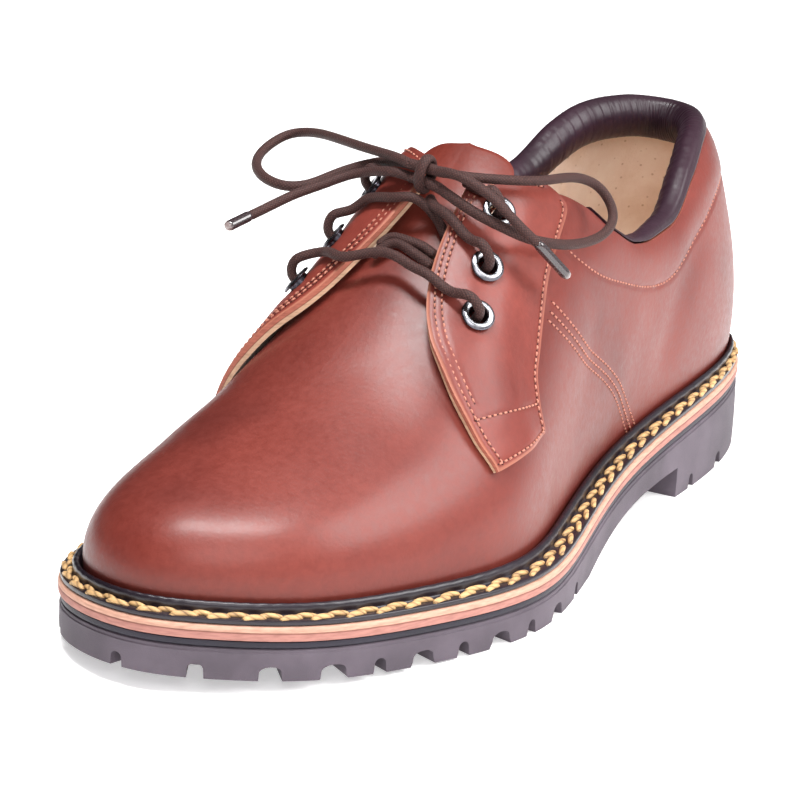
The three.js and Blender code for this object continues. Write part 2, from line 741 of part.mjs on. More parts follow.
// Grooves across the middle of the tread, clear of the rim
function treadGrooves() {
  const grooves = [];
  const firstAlong = treadStartAlong + treadGroove.pitch;
  for (let u = firstAlong; u < 0.9 * soleLength; u += treadGroove.pitch) {
    const f = (u - firstAlong) / (0.9 * soleLength - firstAlong);
    const half = lerp(0.78, 0.62, f) * ballWidth / 2 - treadGroove.edgeBand / 2;
    const top = treadHeight(u) + treadGroove.depth;
    const low = -2;
    grooves.push(placedBox(
      [2 * half, treadGroove.width, top - low],
      0,
      toShoe([u, lerp(0.02, -0.1, f) * ballWidth / 2, (top + low) / 2]),
    ));
  }
  return grooves;
}

function makeOutsole() {
  const topInset = 0.7;
  const step = 0.4;
  const stepDrop = 1.2;
  const block = soleLayer([
    { inset: () => topInset, height: outsoleTop },
    { inset: () => topInset - step, height: (u) => outsoleTop(u) - stepDrop },
    { inset: () => topInset - step + soleSideDraft, height: () => -2 },
  ]);
  const wideReach = 16;
  const narrowReach = 9;
  const wideShare = 0.8;
  const gaps = [...cleatGaps, ...heelGaps].map((gap) => rimGap(gap, gap.share > wideShare ? wideReach : narrowReach));
  return subtractAll(block, [underCutter(), ...gaps, ...treadGrooves()]);
}

// Dark welt on the middle sole: a bead against the upper and a flat strap out to the edge
function makeWelt() {
  const seat = clearance;
  return ringBody((s) => {
    const shelf = shelfWidth(s);
    const lean = (height) => rib.bulge(s) * ballWidth / 2 * height / (rib.rise(s) * instepHeight);
    const section = [
      { out: clearance, height: seat },
      { out: clearance + 0.1, height: welt.rise },
      { out: clearance + 0.45 * welt.beadWidth, height: welt.rise + 0.3 },
      { out: clearance + 0.85 * welt.beadWidth, height: welt.rise - 1 },
      { out: clearance + welt.beadWidth, height: welt.strapThickness + 0.3 },
      { out: shelf - welt.edgeInset, height: welt.strapThickness },
      { out: shelf - welt.edgeInset, height: seat },
    ];
    return section.map(({ out, height }) => {
      const [u, w] = insetEdge(s, shelf - out - lean(height));
      return toShoe([u, w, deckHeight(u) + height]);
    });
  }, edgeSteps);
}

function makeInsole() {
  const inset = (s) => shelfWidth(s) + upperWall + 2 * clearance;
  const bottom = (u) => deckHeight(u) + clearance;
  return soleLayer([
    { inset, height: (u) => bottom(u) + insoleThickness },
    { inset, height: bottom },
  ]);
}

// Upper

const ribSteps = 10;

// Places round the upper: even steps, with the rows that shape the end of the throat on both sides
function upperStations() {
  const throat = column(toplineRows, 's').filter((s) => s > 5.5);
  const extra = [...throat, ...throat.map(mirrored)];
  const tooClose = 0.1;
  const even = span(0, around, edgeSteps).filter((s) => extra.every((e) => Math.abs(e - s) > tooClose));
  return [...even, ...extra].sort((a, b) => a - b);
}

function makeUpper() {
  const shell = (lift) => upperStations().map((s) => (
    span(0, topShare(s), ribSteps).map((t) => skin(s, t, lift))
  ));
  return slab(shell(0), shell(-upperWall));
}

// Padded roll along the topline: its section sits on the wall's edge and hangs inside it
function makeCollar() {
  const { height, depth, width } = collarRoll;
  const gap = upperWall + 2 * clearance;
  const lidGap = 2.2 * clearance;
  const section = [
    { out: -0.1, up: lidGap },
    { out: 0.2, up: 0.4 * height },
    { out: -0.5, up: 0.8 * height },
    { out: -0.3 * width, up: height },
    { out: -0.6 * width, up: 0.9 * height },
    { out: -0.92 * width, up: 0.4 * height },
    { out: -width, up: -0.25 * depth },
    { out: -0.85 * width, up: -0.75 * depth },
    { out: -0.55 * width, up: -depth },
    { out: -gap, up: -0.9 * depth },
    { out: -gap, up: -0.45 * depth },
    { out: -gap, up: lidGap },
  ];
  const fullUntil = 2.4;
  const endAt = 4.15;
  const endScale = 0.3;
  const sectionAt = (s) => {
    const scale = lerp(1, endScale, smoothstep(Math.abs(s), fullUntil, endAt));
    const t = topShare(s);
    const base = skin(s, t);
    const share = 0.03;
    const below = base.clone().sub(skin(s, t - share));
    const upward = below.clone().normalize();
    const outward = lastNormal(s, t);
    return section.map(({ out, up }) => {
      const outScaled = out < -gap ? -gap + (out + gap) * scale : out;
      const upScaled = Math.abs(up) > lidGap ? Math.sign(up) * Math.max(Math.abs(up) * scale, 0.5) : up;
      if (out === -gap && up < 0) return skin(s, t + upScaled * share / below.length(), -gap);
      return base.clone().addScaledVector(outward, outScaled).addScaledVector(upward, upScaled);
    });
  };
  const half = upperStations().filter((s) => s < endAt);
  return barBody(sectionAt, [...half.slice(1).reverse().map((s) => -s), ...half]);
}

// Tongue: goes on from the vamp's point under the facings and stands out at the top with round corners
function makeTongue() {
  const combShareToS = steadyCurve(
    [rib.endAlong(4) * soleLength, rib.endAlong(5) * soleLength, rib.endAlong(6) * soleLength],
    [4, 5, 6],
  );
  const topAlong = tongue.topShare * soleLength;
  const middleTop = combShareToS(topAlong);
  const sideTop = combShareToS(topAlong - tongue.sideBack);
  const rootGap = 0.04;
  const cornerBack = 0.1;
  const sideGap = 0.02;
  const surface = (lift) => span(0, 1, 9).map((f) => span(-1, 1, 10).map((x) => {
    const side = Math.abs(x);
    const root = vampPoint - rootGap - cornerBack * side;
    const top = lerp(middleTop, sideTop, smoothstep(side, 0, 0.75)) + tongue.cornerDrop * side ** 8;
    const s = lerp(root, top, f);
    const edge = topShare(s) + sideGap;
    return skin(x < 0 ? mirrored(s) : s, 1 - (1 - edge) * side, lift);
  }));
  return slab(surface(-tongue.sunk), surface(-tongue.sunk - tongue.thickness));
}

// Facings

const downs = column(facingRows, 'down');
const facingEdge = {
  frontS: steadyCurve(downs, column(facingRows, 'frontS')),
  outerT: steadyCurve(downs, column(facingRows, 'outerT')),
  innerT: steadyCurve(downs, column(facingRows, 'innerT')),
  rearS: steadyCurve(downs, column(facingRows, 'rearS')),
  rearT: steadyCurve(downs, column(facingRows, 'rearT')),
};

// Height of the facing's underside over the last: on the quarter at the rear, standing off at its front edge
function facingLift(down, back) {
  const free = 1 - smoothstep(down, 0.6, 0.97);
  const front = 1 - smoothstep(back, 0.3, 0.85);
  return clearance + facing.standOff * front * Math.max(free, 0.06);
}

function facingPoint(side, down, back, lift) {
  const s = lerp(facingEdge.frontS(down), facingEdge.rearS(down), back);
  const frontT = side === 'lateral' ? facingEdge.outerT(down) : facingEdge.innerT(down);
  const t = lerp(frontT, facingEdge.rearT(down), back);
  return skin(side === 'lateral' ? s : mirrored(s), t, facingLift(down, back) + lift);
}

// Place on the facing, as shares down and back, over a place s, t of the last, found by Newton steps
function placeOnFacing(side, row) {
  let [down, back] = [0.3, 0.4];
  const at = (d, b) => {
    const frontT = side === 'lateral' ? facingEdge.outerT(d) : facingEdge.innerT(d);
    return [
      lerp(facingEdge.frontS(d), facingEdge.rearS(d), b) - row.s,
      lerp(frontT, facingEdge.rearT(d), b) - row.t,
    ];
  };
  const step = 1e-4;
  for (let i = 0; i < 12; i++) {
    const [e, g] = at(down, back);
    const [ed, gd] = at(down + step, back).map((value, k) => (value - [e, g][k]) / step);
    const [eb, gb] = at(down, back + step).map((value, k) => (value - [e, g][k]) / step);
    const size = ed * gb - eb * gd;
    down = THREE.MathUtils.clamp(down - (e * gb - g * eb) / size, 0, 1);
    back = THREE.MathUtils.clamp(back - (g * ed - e * gd) / size, 0, 1);
  }
  return { down, back };
}

// Centre of an eyelet on the facing's outside, its outward normal and the turn from +Y to that normal
function eyeletFrame(side, row) {
  const { down, back } = placeOnFacing(side, row);
  const { thickness } = facing;
  const step = 0.02;
  const centre = facingPoint(side, down, back, thickness);
  const across = facingPoint(side, down, back + step, thickness).sub(facingPoint(side, down, back - step, thickness));
  const along = facingPoint(side, down + step, back, thickness).sub(facingPoint(side, down - step, back, thickness));
  const normal = along.cross(across).normalize().multiplyScalar(side === 'lateral' ? 1 : -1);
  const turn = new THREE.Quaternion().setFromUnitVectors(new THREE.Vector3(0, 1, 0), normal);
  return { centre, normal, turn };
}

function makeFacing(side) {
  const surface = (lift) => span(0, 1, 12).map((down) => (
    span(0, 1, 8).map((back) => facingPoint(side, down, back, lift))
  ));
  const body = slab(surface(facing.thickness), surface(0));
  const holes = eyeletRows.map((row) => {
    const { centre, turn } = eyeletFrame(side, row);
    const radius = eyelet.barrelRadius + clearance;
    const hole = new THREE.CylinderGeometry(radius, radius, 4 * facing.thickness, eyelet.sides);
    return hole.applyQuaternion(turn).translate(centre.x, centre.y, centre.z);
  });
  return subtractAll(body, holes);
}

// Metal ring with a round flange on the facing and a barrel through it, turned about its own y
function makeEyelet() {
  const { flangeRadius, barrelRadius, holeRadius, flangeHeight, sides } = eyelet;
  const profile = [
    [holeRadius, -facing.thickness],
    [barrelRadius, -facing.thickness],
    [barrelRadius, eyeletSeat],
    [flangeRadius, eyeletSeat],
    [flangeRadius - 0.5, eyeletSeat + 0.8 * flangeHeight],
    [(flangeRadius + holeRadius) / 2, eyeletSeat + flangeHeight],
    [holeRadius, eyeletSeat + 0.6 * flangeHeight],
    [holeRadius, -facing.thickness],
  ];
  return new THREE.LatheGeometry(profile.map(([r, y]) => new THREE.Vector2(r, y)), sides);
}

// Laces

const laceRadius = laceDiameter / 2;
const overTongue = clearance + laceRadius;
const overFacing = clearance + facing.standOff + facing.thickness + clearance + laceRadius;

const strandPoint = ({ s, t, high }) => skin(s, t, lerp(overTongue, overFacing, high));

// Points of a strand that comes up out of an eyelet and bends over its flange towards a point
function eyeletExit(side, row, toward) {
  const { centre, normal } = eyeletFrame(side, row);
  const away = toward.clone().sub(centre).projectOnPlane(normal).normalize();
  const top = eyeletSeat + eyelet.flangeHeight + 3 * clearance + laceRadius;
  const place = (up, out) => centre.clone().addScaledVector(normal, up).addScaledVector(away, out);
  return [place(0, 0), place(0.55 * top, 0), place(top, 0.5 * eyelet.flangeRadius), place(top, eyelet.flangeRadius)];
}

function makeBar() {
  const crossing = barRows.map(strandPoint);
  const lowest = eyeletRows.at(-1);
  return cordTube([
    ...eyeletExit('medial', lowest, crossing[0]),
    ...crossing,
    ...eyeletExit('lateral', lowest, crossing.at(-1)).reverse(),
  ], laceDiameter, 22);
}

function makeLowerCross() {
  return joinAll(lowerCrossRows.map((rows) => cordTube(rows.map(strandPoint), laceDiameter, 7)));
}

function makeUpperCross() {
  const middle = eyeletRows[1];
  return joinAll(['medial', 'lateral'].map((side, i) => {
    const crossing = upperCrossRows[i].map(strandPoint);
    return cordTube([...eyeletExit(side, middle, crossing[0]), ...crossing], laceDiameter, 15);
  }));
}

function makeRise(side) {
  const points = riseRows[side].map(strandPoint);
  return cordTube([...eyeletExit(side, eyeletRows[0], points[0]), ...points], laceDiameter, 7);
}

function makeKnot() {
  const ball = new THREE.SphereGeometry(knot.radius, 12, 8);
  return ball.scale(knot.across / knot.radius, 1, 1).translate(...knotCentre);
}

addPiece('outsole', makeOutsole(), 'rubber');
addPiece('rubber_midsole', makeRubberMidsole(), 'darkRubber');
addPiece('midsole', makeMidsole(), 'naturalLeather');
addPiece('welt', makeWelt(), 'welt');
addPiece('insole', makeInsole(), 'insole');
addPiece('upper', makeUpper(), 'leather');
addPiece('tongue', makeTongue(), 'leather');
addPiece('collar', makeCollar(), 'collarLeather');

for (const side of ['lateral', 'medial']) {
  addPiece(`facing_${side}`, makeFacing(side), 'facingLeather');
  eyeletRows.forEach((row, i) => {
    const { centre, turn } = eyeletFrame(side, row);
    const ring = addPiece(`eyelet_${side}_${i + 1}`, makeEyelet(), 'nickel');
    ring.position.copy(centre);
    ring.quaternion.copy(turn);
  });
}

addPiece('lace_bar', makeBar(), 'lace');
addPiece('lace_cross_lower', makeLowerCross(), 'lace');
addPiece('lace_cross_upper', makeUpperCross(), 'lace');
addPiece('lace_rise_lateral', makeRise('lateral'), 'lace');
addPiece('lace_rise_medial', makeRise('medial'), 'lace');
addPiece('lace_knot', makeKnot(), 'lace');

const cords = [
  { name: 'lace_loop_medial', points: loopMedialPoints, diameter: laceDiameter, steps: 21, look: 'lace' },
  { name: 'lace_loop_lateral', points: loopLateralPoints, diameter: laceDiameter, steps: 21, look: 'lace' },
  { name: 'lace_end_medial', points: endMedialPoints, diameter: laceDiameter, steps: 8, look: 'lace' },
  { name: 'lace_end_lateral', points: endLateralPoints, diameter: laceDiameter, steps: 6, look: 'lace' },
  { name: 'lace_aglet_medial', points: agletMedialPoints, diameter: agletDiameter, steps: 1, look: 'aglet' },
  { name: 'lace_aglet_lateral', points: agletLateralPoints, diameter: agletDiameter, steps: 1, look: 'aglet' },
];
for (const { name, points, diameter, steps, look } of cords) {
  addPiece(name, cordTube(points.map((p) => new THREE.Vector3(...p)), diameter, steps), look);
}

export default group;
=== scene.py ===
# The looks of a low lace-up shoe for the left foot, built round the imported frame.
# Lengths are in millimetres until a mesh is made. The toe points along -Y, the outer side is +X, up is +Z.
# A place on the shoe is (s, t): s runs round it, 0 at the heel's back, 1 to 9 outer side, 10 toe, 11 to 19 inner
# side; t runs up a rib of the last, from 0 at the sole to 1 on the comb over its middle.
import math

import bpy
import numpy as np
from mathutils import Matrix, Vector


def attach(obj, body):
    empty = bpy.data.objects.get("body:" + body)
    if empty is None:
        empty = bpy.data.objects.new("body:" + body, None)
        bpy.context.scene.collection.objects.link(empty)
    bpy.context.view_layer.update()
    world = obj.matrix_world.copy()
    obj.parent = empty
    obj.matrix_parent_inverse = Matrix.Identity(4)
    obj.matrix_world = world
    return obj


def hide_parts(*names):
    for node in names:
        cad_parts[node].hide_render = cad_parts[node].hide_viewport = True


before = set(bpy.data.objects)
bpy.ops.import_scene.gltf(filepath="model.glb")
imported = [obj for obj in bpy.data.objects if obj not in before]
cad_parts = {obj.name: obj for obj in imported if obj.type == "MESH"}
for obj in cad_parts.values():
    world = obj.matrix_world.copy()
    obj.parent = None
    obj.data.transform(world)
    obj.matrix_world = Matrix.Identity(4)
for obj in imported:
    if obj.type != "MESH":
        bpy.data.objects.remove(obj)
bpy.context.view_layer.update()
mm = 0.001
print("frame loaded")

# camera: the angle of the photograph, turned and zoomed onto the one shoe
camera = dict(
    azimuth=34.26, elevation=13.693, distance=1250.0, target=(-209.294, 187.964, 40.0), roll=0.818,
    focal=2554.7, frameWidth=800.0, aimPixel=(527.0, 566.0), zoom=1.34, sensor=36.0,
)


def placeCamera():
    # back = the direction from target to eye; the view is turned to the ray through aimPixel and narrowed by zoom
    a, e, r = (math.radians(camera[k]) for k in ("azimuth", "elevation", "roll"))
    back = Vector((math.sin(a) * math.cos(e), -math.cos(a) * math.cos(e), math.sin(e)))
    right = (-back).cross(Vector((0, 0, 1))).normalized()
    up = right.cross(-back)
    right, up = right * math.cos(r) + up * math.sin(r), up * math.cos(r) - right * math.sin(r)
    half = camera["frameWidth"] / 2
    px, py = camera["aimPixel"]
    ahead = (-back + right * (px - half) / camera["focal"] - up * (py - half) / camera["focal"]).normalized()
    right = (right - ahead * right.dot(ahead)).normalized()
    up = right.cross(ahead)
    data = bpy.data.cameras.new("camera")
    data.sensor_width = camera["sensor"]
    data.lens = camera["focal"] * camera["zoom"] / camera["frameWidth"] * camera["sensor"]
    eye = bpy.data.objects.new("camera", data)
    place = (Vector(camera["target"]) + back * camera["distance"]) * mm
    turn = Matrix((right, up, -ahead)).transposed().to_4x4()
    eye.matrix_world = Matrix.Translation(place) @ turn
    bpy.context.scene.collection.objects.link(eye)
    bpy.context.scene.camera = eye


placeCamera()


# curves through tables

def closedSpline(values):
    # periodic cubic with one value for each whole s; the bends solve the 1-4-1 ring
    v = np.asarray(values, float)
    n = len(v)
    ring = 4 * np.eye(n) + np.roll(np.eye(n), 1, 1) + np.roll(np.eye(n), -1, 1)
    bend = np.linalg.solve(ring, 6 * (np.roll(v, -1) - 2 * v + np.roll(v, 1)))

    def at(s):
        wrapped = np.mod(s, n)
        i = np.floor(wrapped).astype(int) % n
        j = (i + 1) % n
        f = wrapped - np.floor(wrapped)
        g = 1 - f
        return v[i] * g + v[j] * f + (g ** 3 - g) * bend[i] / 6 + (f ** 3 - f) * bend[j] / 6
    return at


def openSpline(xs, ys):
    # natural cubic through the points, straight beyond its ends; ys may hold several columns
    xs = np.asarray(xs, float)
    ys = np.asarray(ys, float)
    h = np.diff(xs)
    n = len(xs)
    matrix = np.eye(n)
    right = np.zeros(ys.shape)
    slopes = (np.diff(ys, axis=0).T / h).T
    for i in range(1, n - 1):
        matrix[i, i - 1:i + 2] = [h[i - 1], 2 * (h[i - 1] + h[i]), h[i]]
        right[i] = 6 * (slopes[i] - slopes[i - 1])
    bend = np.linalg.solve(matrix, right)

    def at(x):
        x = np.asarray(x, float)
        i = np.clip(np.searchsorted(xs, x, side="right") - 1, 0, n - 2)
        inner = np.clip(x, xs[0], xs[-1])
        size = h[i]
        f = (inner - xs[i]) / size
        g = 1 - f
        if ys.ndim > 1:
            f, g, size = f[..., None], g[..., None], size[..., None]
        value = ys[i] * g + ys[i + 1] * f + ((g ** 3 - g) * bend[i] + (f ** 3 - f) * bend[i + 1]) * size ** 2 / 6
        low = slopes[0] - bend[1] * h[0] / 6
        high = slopes[-1] + bend[-2] * h[-1] / 6
        under = np.minimum(0, x - xs[0])
        over = np.maximum(0, x - xs[-1])
        if ys.ndim > 1:
            under, over = under[..., None], over[..., None]
        return value + low * under + high * over
    return at


def steadyCurve(xs, ys):
    # cubic without overshoot: each tangent is the harmonic mean of the two slopes beside it
    xs = np.asarray(xs, float)
    ys = np.asarray(ys, float)
    slopes = np.diff(ys) / np.diff(xs)
    before = np.r_[slopes[0], slopes]
    after = np.r_[slopes, slopes[-1]]
    steady = before * after > 0
    tangents = np.where(steady, 2 * before * after / np.where(steady, before + after, 1), 0)

    def at(x):
        i = np.clip(np.searchsorted(xs, x, side="left") - 1, 0, len(xs) - 2)
        h = xs[i + 1] - xs[i]
        f = np.clip((x - xs[i]) / h, 0, 1)
        return ((2 * f ** 3 - 3 * f ** 2 + 1) * ys[i] + (f ** 3 - 2 * f ** 2 + f) * h * tangents[i]
                + (3 * f ** 2 - 2 * f ** 3) * ys[i + 1] + (f ** 3 - f ** 2) * h * tangents[i + 1])
    return at


def smoothstep(x, low, high):
    f = np.clip((x - low) / (high - low), 0, 1)
    return f * f * (3 - 2 * f)


def unit(v):
    return v / np.maximum(np.linalg.norm(v, axis=-1, keepdims=True), 1e-9)


def runOf(path):
    # length of a path up to each of its points
    return np.r_[0, np.cumsum(np.linalg.norm(np.diff(path, axis=0), axis=1))]


def onceRound(count, total=2 * np.pi):
    # even places once round, the last the same as the first
    places = np.linspace(0, total, count + 1)
    places[-1] = 0
    return places


def ringOf(side, over, count, flat=1.0):
    # points cos(a) side + flat sin(a) over once round each place
    angle = onceRound(count)[:, None]
    return side[..., None, :] * np.cos(angle) + over[..., None, :] * (flat * np.sin(angle))


# the last, with the values of the CAD source
last = dict(
    soleLength=300.0, ballWidth=117.0, heelSeat=27.3, ballSeat=15.0, toeSpring=5.1, instepHeight=117.0,
    clearance=0.3, shelf=8.5, upperWall=2.4,
    deck=[(0, 1, 0), (.18, .93, 0), (.37, .55, 0), (.55, .12, 0), (.68, 0, 0), (.8, 0, .15), (.92, 0, .57), (1, 0, 1)],
    comb=[(.067, .949), (.167, .991), (.3, 1), (.4, .974), (.467, .927), (.507, .876), (.54, .812), (.58, .726),
          (.627, .624), (.68, .513), (.737, .415), (.8, .346), (.873, .282), (.967, .162)],
    columns=("along", "across", "shelf", "endAlong", "endAcross", "bulge", "rise", "reach", "drop"),
    ribs=[
        (0.000, -0.02, 0.53, 0.147, 0.000, 0.130, 0.270, 0.444, 0.034),
        (0.027, 0.34, 0.53, 0.163, 0.000, 0.130, 0.270, 0.479, 0.034),
        (0.130, 0.56, 0.65, 0.207, 0.000, 0.120, 0.290, 0.547, 0.034),
        (0.253, 0.64, 0.82, 0.300, 0.000, 0.085, 0.291, 0.581, 0.034),
        (0.400, 0.71, 0.94, 0.407, 0.000, 0.068, 0.291, 0.615, 0.034),
        (0.547, 0.89, 1.00, 0.507, 0.000, 0.051, 0.291, 0.615, 0.034),
        (0.677, 1.01, 1.00, 0.600, -0.017, 0.051, 0.274, 0.547, 0.026),
        (0.804, 0.84, 0.94, 0.687, -0.051, 0.068, 0.256, 0.513, 0.009),
        (0.907, 0.58, 0.88, 0.753, -0.085, 0.085, 0.239, 0.513, 0.000),
        (0.970, 0.24, 0.88, 0.793, -0.103, 0.085, 0.222, 0.513, 0.000),
        (1.000, -0.12, 0.88, 0.807, -0.103, 0.085, 0.222, 0.479, 0.000),
        (0.980, -0.53, 0.82, 0.793, -0.103, 0.085, 0.222, 0.479, 0.000),
        (0.909, -0.83, 0.82, 0.753, -0.085, 0.068, 0.239, 0.513, 0.000),
        (0.786, -0.96, 0.82, 0.687, -0.051, 0.051, 0.256, 0.530, 0.009),
        (0.668, -0.94, 0.88, 0.600, -0.017, 0.051, 0.274, 0.547, 0.026),
        (0.533, -0.73, 0.88, 0.507, 0.000, 0.068, 0.291, 0.615, 0.034),
        (0.400, -0.57, 0.88, 0.407, 0.000, 0.085, 0.308, 0.581, 0.034),
        (0.250, -0.58, 0.76, 0.300, 0.000, 0.103, 0.308, 0.547, 0.034),
        (0.127, -0.60, 0.65, 0.207, 0.000, 0.120, 0.290, 0.513, 0.034),
        (0.026, -0.38, 0.53, 0.163, 0.000, 0.130, 0.270, 0.462, 0.034),
    ],
    topline=[  # s, share of the rib on the outer and on the inner side
        (0.00, .640, .640), (1.00, .630, .645), (1.55, .615, .635), (2.00, .590, .615), (2.50, .525, .570),
        (3.05, .450, .510), (3.35, .448, .505), (3.60, .463, .515), (3.90, .525, .560), (4.20, .620, .630),
        (4.50, .700, .700), (5.00, .780, .780), (5.70, .840, .840), (5.90, .860, .860), (5.96, .900, .900),
        (6.00, 1.00, 1.00),
    ],
)
around = len(last["ribs"])
toeTip = around / 2
throatEnd = 6  # s where the throat ends and the ribs of both sides meet
soleLength, halfWidth, instep = last["soleLength"], last["ballWidth"] / 2, last["instepHeight"]
clearance = last["clearance"]
rib = {name: closedSpline([row[i] for row in last["ribs"]]) for i, name in enumerate(last["columns"])}
deckRows, combRows, topRows = (np.array(last[key]).T for key in ("deck", "comb", "topline"))
heelLift = last["heelSeat"] - last["ballSeat"]
deckHeight = openSpline(
    deckRows[0] * soleLength, last["ballSeat"] + deckRows[1] * heelLift + deckRows[2] * last["toeSpring"])
combHeight = openSpline(combRows[0] * soleLength, last["ballSeat"] + combRows[1] * instep)
topOuter, topInner = steadyCurve(topRows[0], topRows[1]), steadyCurve(topRows[0], topRows[2])


def topShare(s):
    # share of the rib where the upper ends; the whole rib in front of the throat
    outward, inward = np.mod(s, around), around - np.mod(s, around)
    outer = np.where(outward >= throatEnd, 1, topOuter(np.minimum(outward, throatEnd)))
    inner = np.where(inward >= throatEnd, 1, topInner(np.minimum(inward, throatEnd)))
    return np.where(outward <= toeTip, outer, inner)


def soleEdge(s):
    return rib["along"](s) * soleLength, rib["across"](s) * halfWidth


def edgeNormal(s):
    # outward direction of the sole's edge in plan, from two points close by
    u1, w1 = soleEdge(s - 1e-3)
    u2, w2 = soleEdge(s + 1e-3)
    size = np.hypot(u2 - u1, w2 - w1)
    return -(w2 - w1) / size, (u2 - u1) / size


def insetEdge(s, inset):
    u, w = soleEdge(s)
    nu, nw = edgeNormal(s)
    return u - nu * inset, w - nw * inset


def shelfWidth(s):
    return rib["shelf"](s) * last["shelf"]


edgeAlong, edgeAcross = soleEdge(np.arange(64) * around / 64)
middleAlong = (edgeAlong.max() + edgeAlong.min()) / 2
middleAcross = (edgeAcross.max() + edgeAcross.min()) / 2


def toShoe(u, w, z):
    return np.stack(np.broadcast_arrays(w - middleAcross, middleAlong - u, z), -1)


def lastPoint(s, t):
    # cubic Bezier rib from the feather edge to the comb, its handles up from the sole and out from the comb
    s, t = np.broadcast_arrays(np.asarray(s, float), np.asarray(t, float))
    fu, fw = insetEdge(s, shelfWidth(s))
    fz = deckHeight(fu) + clearance
    ou, ow = edgeNormal(s)
    eu, ew = rib["endAlong"](s) * soleLength, rib["endAcross"](s) * halfWidth
    ez = combHeight(eu)
    size = np.hypot(fu - eu, fw - ew)
    du, dw = (fu - eu) / size, (fw - ew) / size
    slope = combHeight(eu + 0.5) - combHeight(eu - 0.5)
    bulge, reach = rib["bulge"](s) * halfWidth, rib["reach"](s) * halfWidth
    g = 1 - t
    a, b, c, d = g ** 3, 3 * g * g * t, 3 * g * t * t, t ** 3
    u = a * fu + b * (fu + ou * bulge) + c * (eu + du * reach) + d * eu
    w = a * fw + b * (fw + ow * bulge) + c * (ew + dw * reach) + d * ew
    z = a * fz + b * (fz + rib["rise"](s) * instep) + c * (ez - rib["drop"](s) * instep + slope * du * reach) + d * ez
    return toShoe(u, w, z)


def rawNormal(s, t):
    step = 0.02
    up = lastPoint(s, np.minimum(1, t + step)) - lastPoint(s, np.maximum(0, t - step))
    ahead = lastPoint(s + step, t) - lastPoint(s - step, t)
    return unit(np.cross(up, ahead))


def lastNormal(s, t):
    # outward normal; on the comb both sides share the mean of their normals
    s, t = np.broadcast_arrays(np.asarray(s, float), np.asarray(t, float))
    nearComb = 0.97
    own = rawNormal(s, np.minimum(t, nearComb))
    shared = unit(own + rawNormal(around - s, np.full(s.shape, nearComb)))
    f = np.clip((t - nearComb) / (1 - nearComb), 0, 1)[..., None]
    return unit(own * (1 - f) + shared * f)


def skin(s, t, lift=0.0):
    # point at a height over the last
    lift = np.asarray(lift, float)
    return lastPoint(s, t) + lastNormal(s, t) * (lift[..., None] if lift.ndim else lift)


# meshes

def makeBody(name, grids, materials, picks=None, uvs=None, values=None, sharp=38, closed=True):
    # Welds grids of points (n, m, 3), or stacks of them (k, n, m, 3), into one mesh. Corners that fall together become
    # one, cells without area and walls met from both sides go, a cell with a doubled corner becomes a triangle.
    # picks gives each grid's material, values each grid's numbers for point attributes. A closed body with negative
    # volume is turned.
    stacks = [g if g.ndim == 4 else g[None] for g in grids]
    raw, start, chosen = [], 0, []
    for i, g in enumerate(stacks):
        k, n, m, _ = g.shape
        index = start + np.arange(k * n * m).reshape(k, n, m)
        quads = np.stack([index[:, :-1, :-1], index[:, 1:, :-1], index[:, 1:, 1:], index[:, :-1, 1:]], -1)
        raw.append(quads.reshape(-1, 4))
        chosen.append(np.full(len(raw[-1]), picks[i] if picks else 0))
        start += k * n * m
    raw, chosen = np.concatenate(raw), np.concatenate(chosen)
    points = np.concatenate([g.reshape(-1, 3) for g in stacks])
    weld = np.round(points * 1e4).astype(np.int64)  # within a tenth of a micrometre
    _, first, inverse = np.unique(weld, axis=0, return_index=True, return_inverse=True)
    ids = inverse.ravel()[raw]
    doubled = ids == np.roll(ids, -1, axis=1)
    count = doubled.sum(1)
    crossed = (ids[:, 0] == ids[:, 2]) | (ids[:, 1] == ids[:, 3])
    _, group, shared = np.unique(np.sort(ids, 1), axis=0, return_inverse=True, return_counts=True)
    whole = (count == 0) & ~crossed & (shared[group.ravel()] == 1)
    partial = (count == 1) & ~crossed
    kept = (np.argmax(doubled[partial], 1)[:, None] + np.array([1, 2, 3])) % 4
    triRaw = np.take_along_axis(raw[partial], kept, 1)
    quadRaw = raw[whole]
    quads, tris = inverse.ravel()[quadRaw], inverse.ravel()[triRaw]
    corners = points[first]
    if closed:
        halves = np.concatenate([quads[:, [0, 1, 2]], quads[:, [0, 2, 3]], tris])
        a, b, c = (corners[halves[:, i]] for i in range(3))
        if np.einsum("ij,ij->", a, np.cross(b, c)) < 0:
            quads, tris, quadRaw, triRaw = (x[:, ::-1] for x in (quads, tris, quadRaw, triRaw))
    mesh = bpy.data.meshes.new(name)
    mesh.from_pydata((corners * mm).tolist(), [], quads.tolist() + tris.tolist())
    loops = np.concatenate([quadRaw.ravel(), triRaw.ravel()])
    if uvs:
        flat = np.concatenate([u.reshape(-1, 2) for u in uvs])
        mesh.uv_layers.new(name="UVMap").data.foreach_set("uv", flat[loops].astype(np.float32).ravel())
    for key, parts in (values or {}).items():
        flat = np.concatenate([np.asarray(v, float).ravel() for v in parts])
        mesh.attributes.new(key, "FLOAT", "POINT").data.foreach_set("value", flat[first].astype(np.float32))
    mesh.polygons.foreach_set("material_index", np.concatenate([chosen[whole], chosen[partial]]).astype(np.int32))
    mesh.polygons.foreach_set("use_smooth", np.ones(len(mesh.polygons), bool))
    mesh.set_sharp_from_angle(angle=math.radians(sharp))
    mesh.update()
    piece = bpy.data.objects.new(name, mesh)
    bpy.context.scene.collection.objects.link(piece)
    for material in materials:
        mesh.materials.append(material)
    return piece


def settle(piece, slot, *nodes):
    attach(piece, "root")
    if nodes:
        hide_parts(*nodes)
    return piece


def addPiece(name, grids, materials, slot, nodes=(), **options):
    return settle(makeBody(name, grids, materials, **options), slot, *nodes)


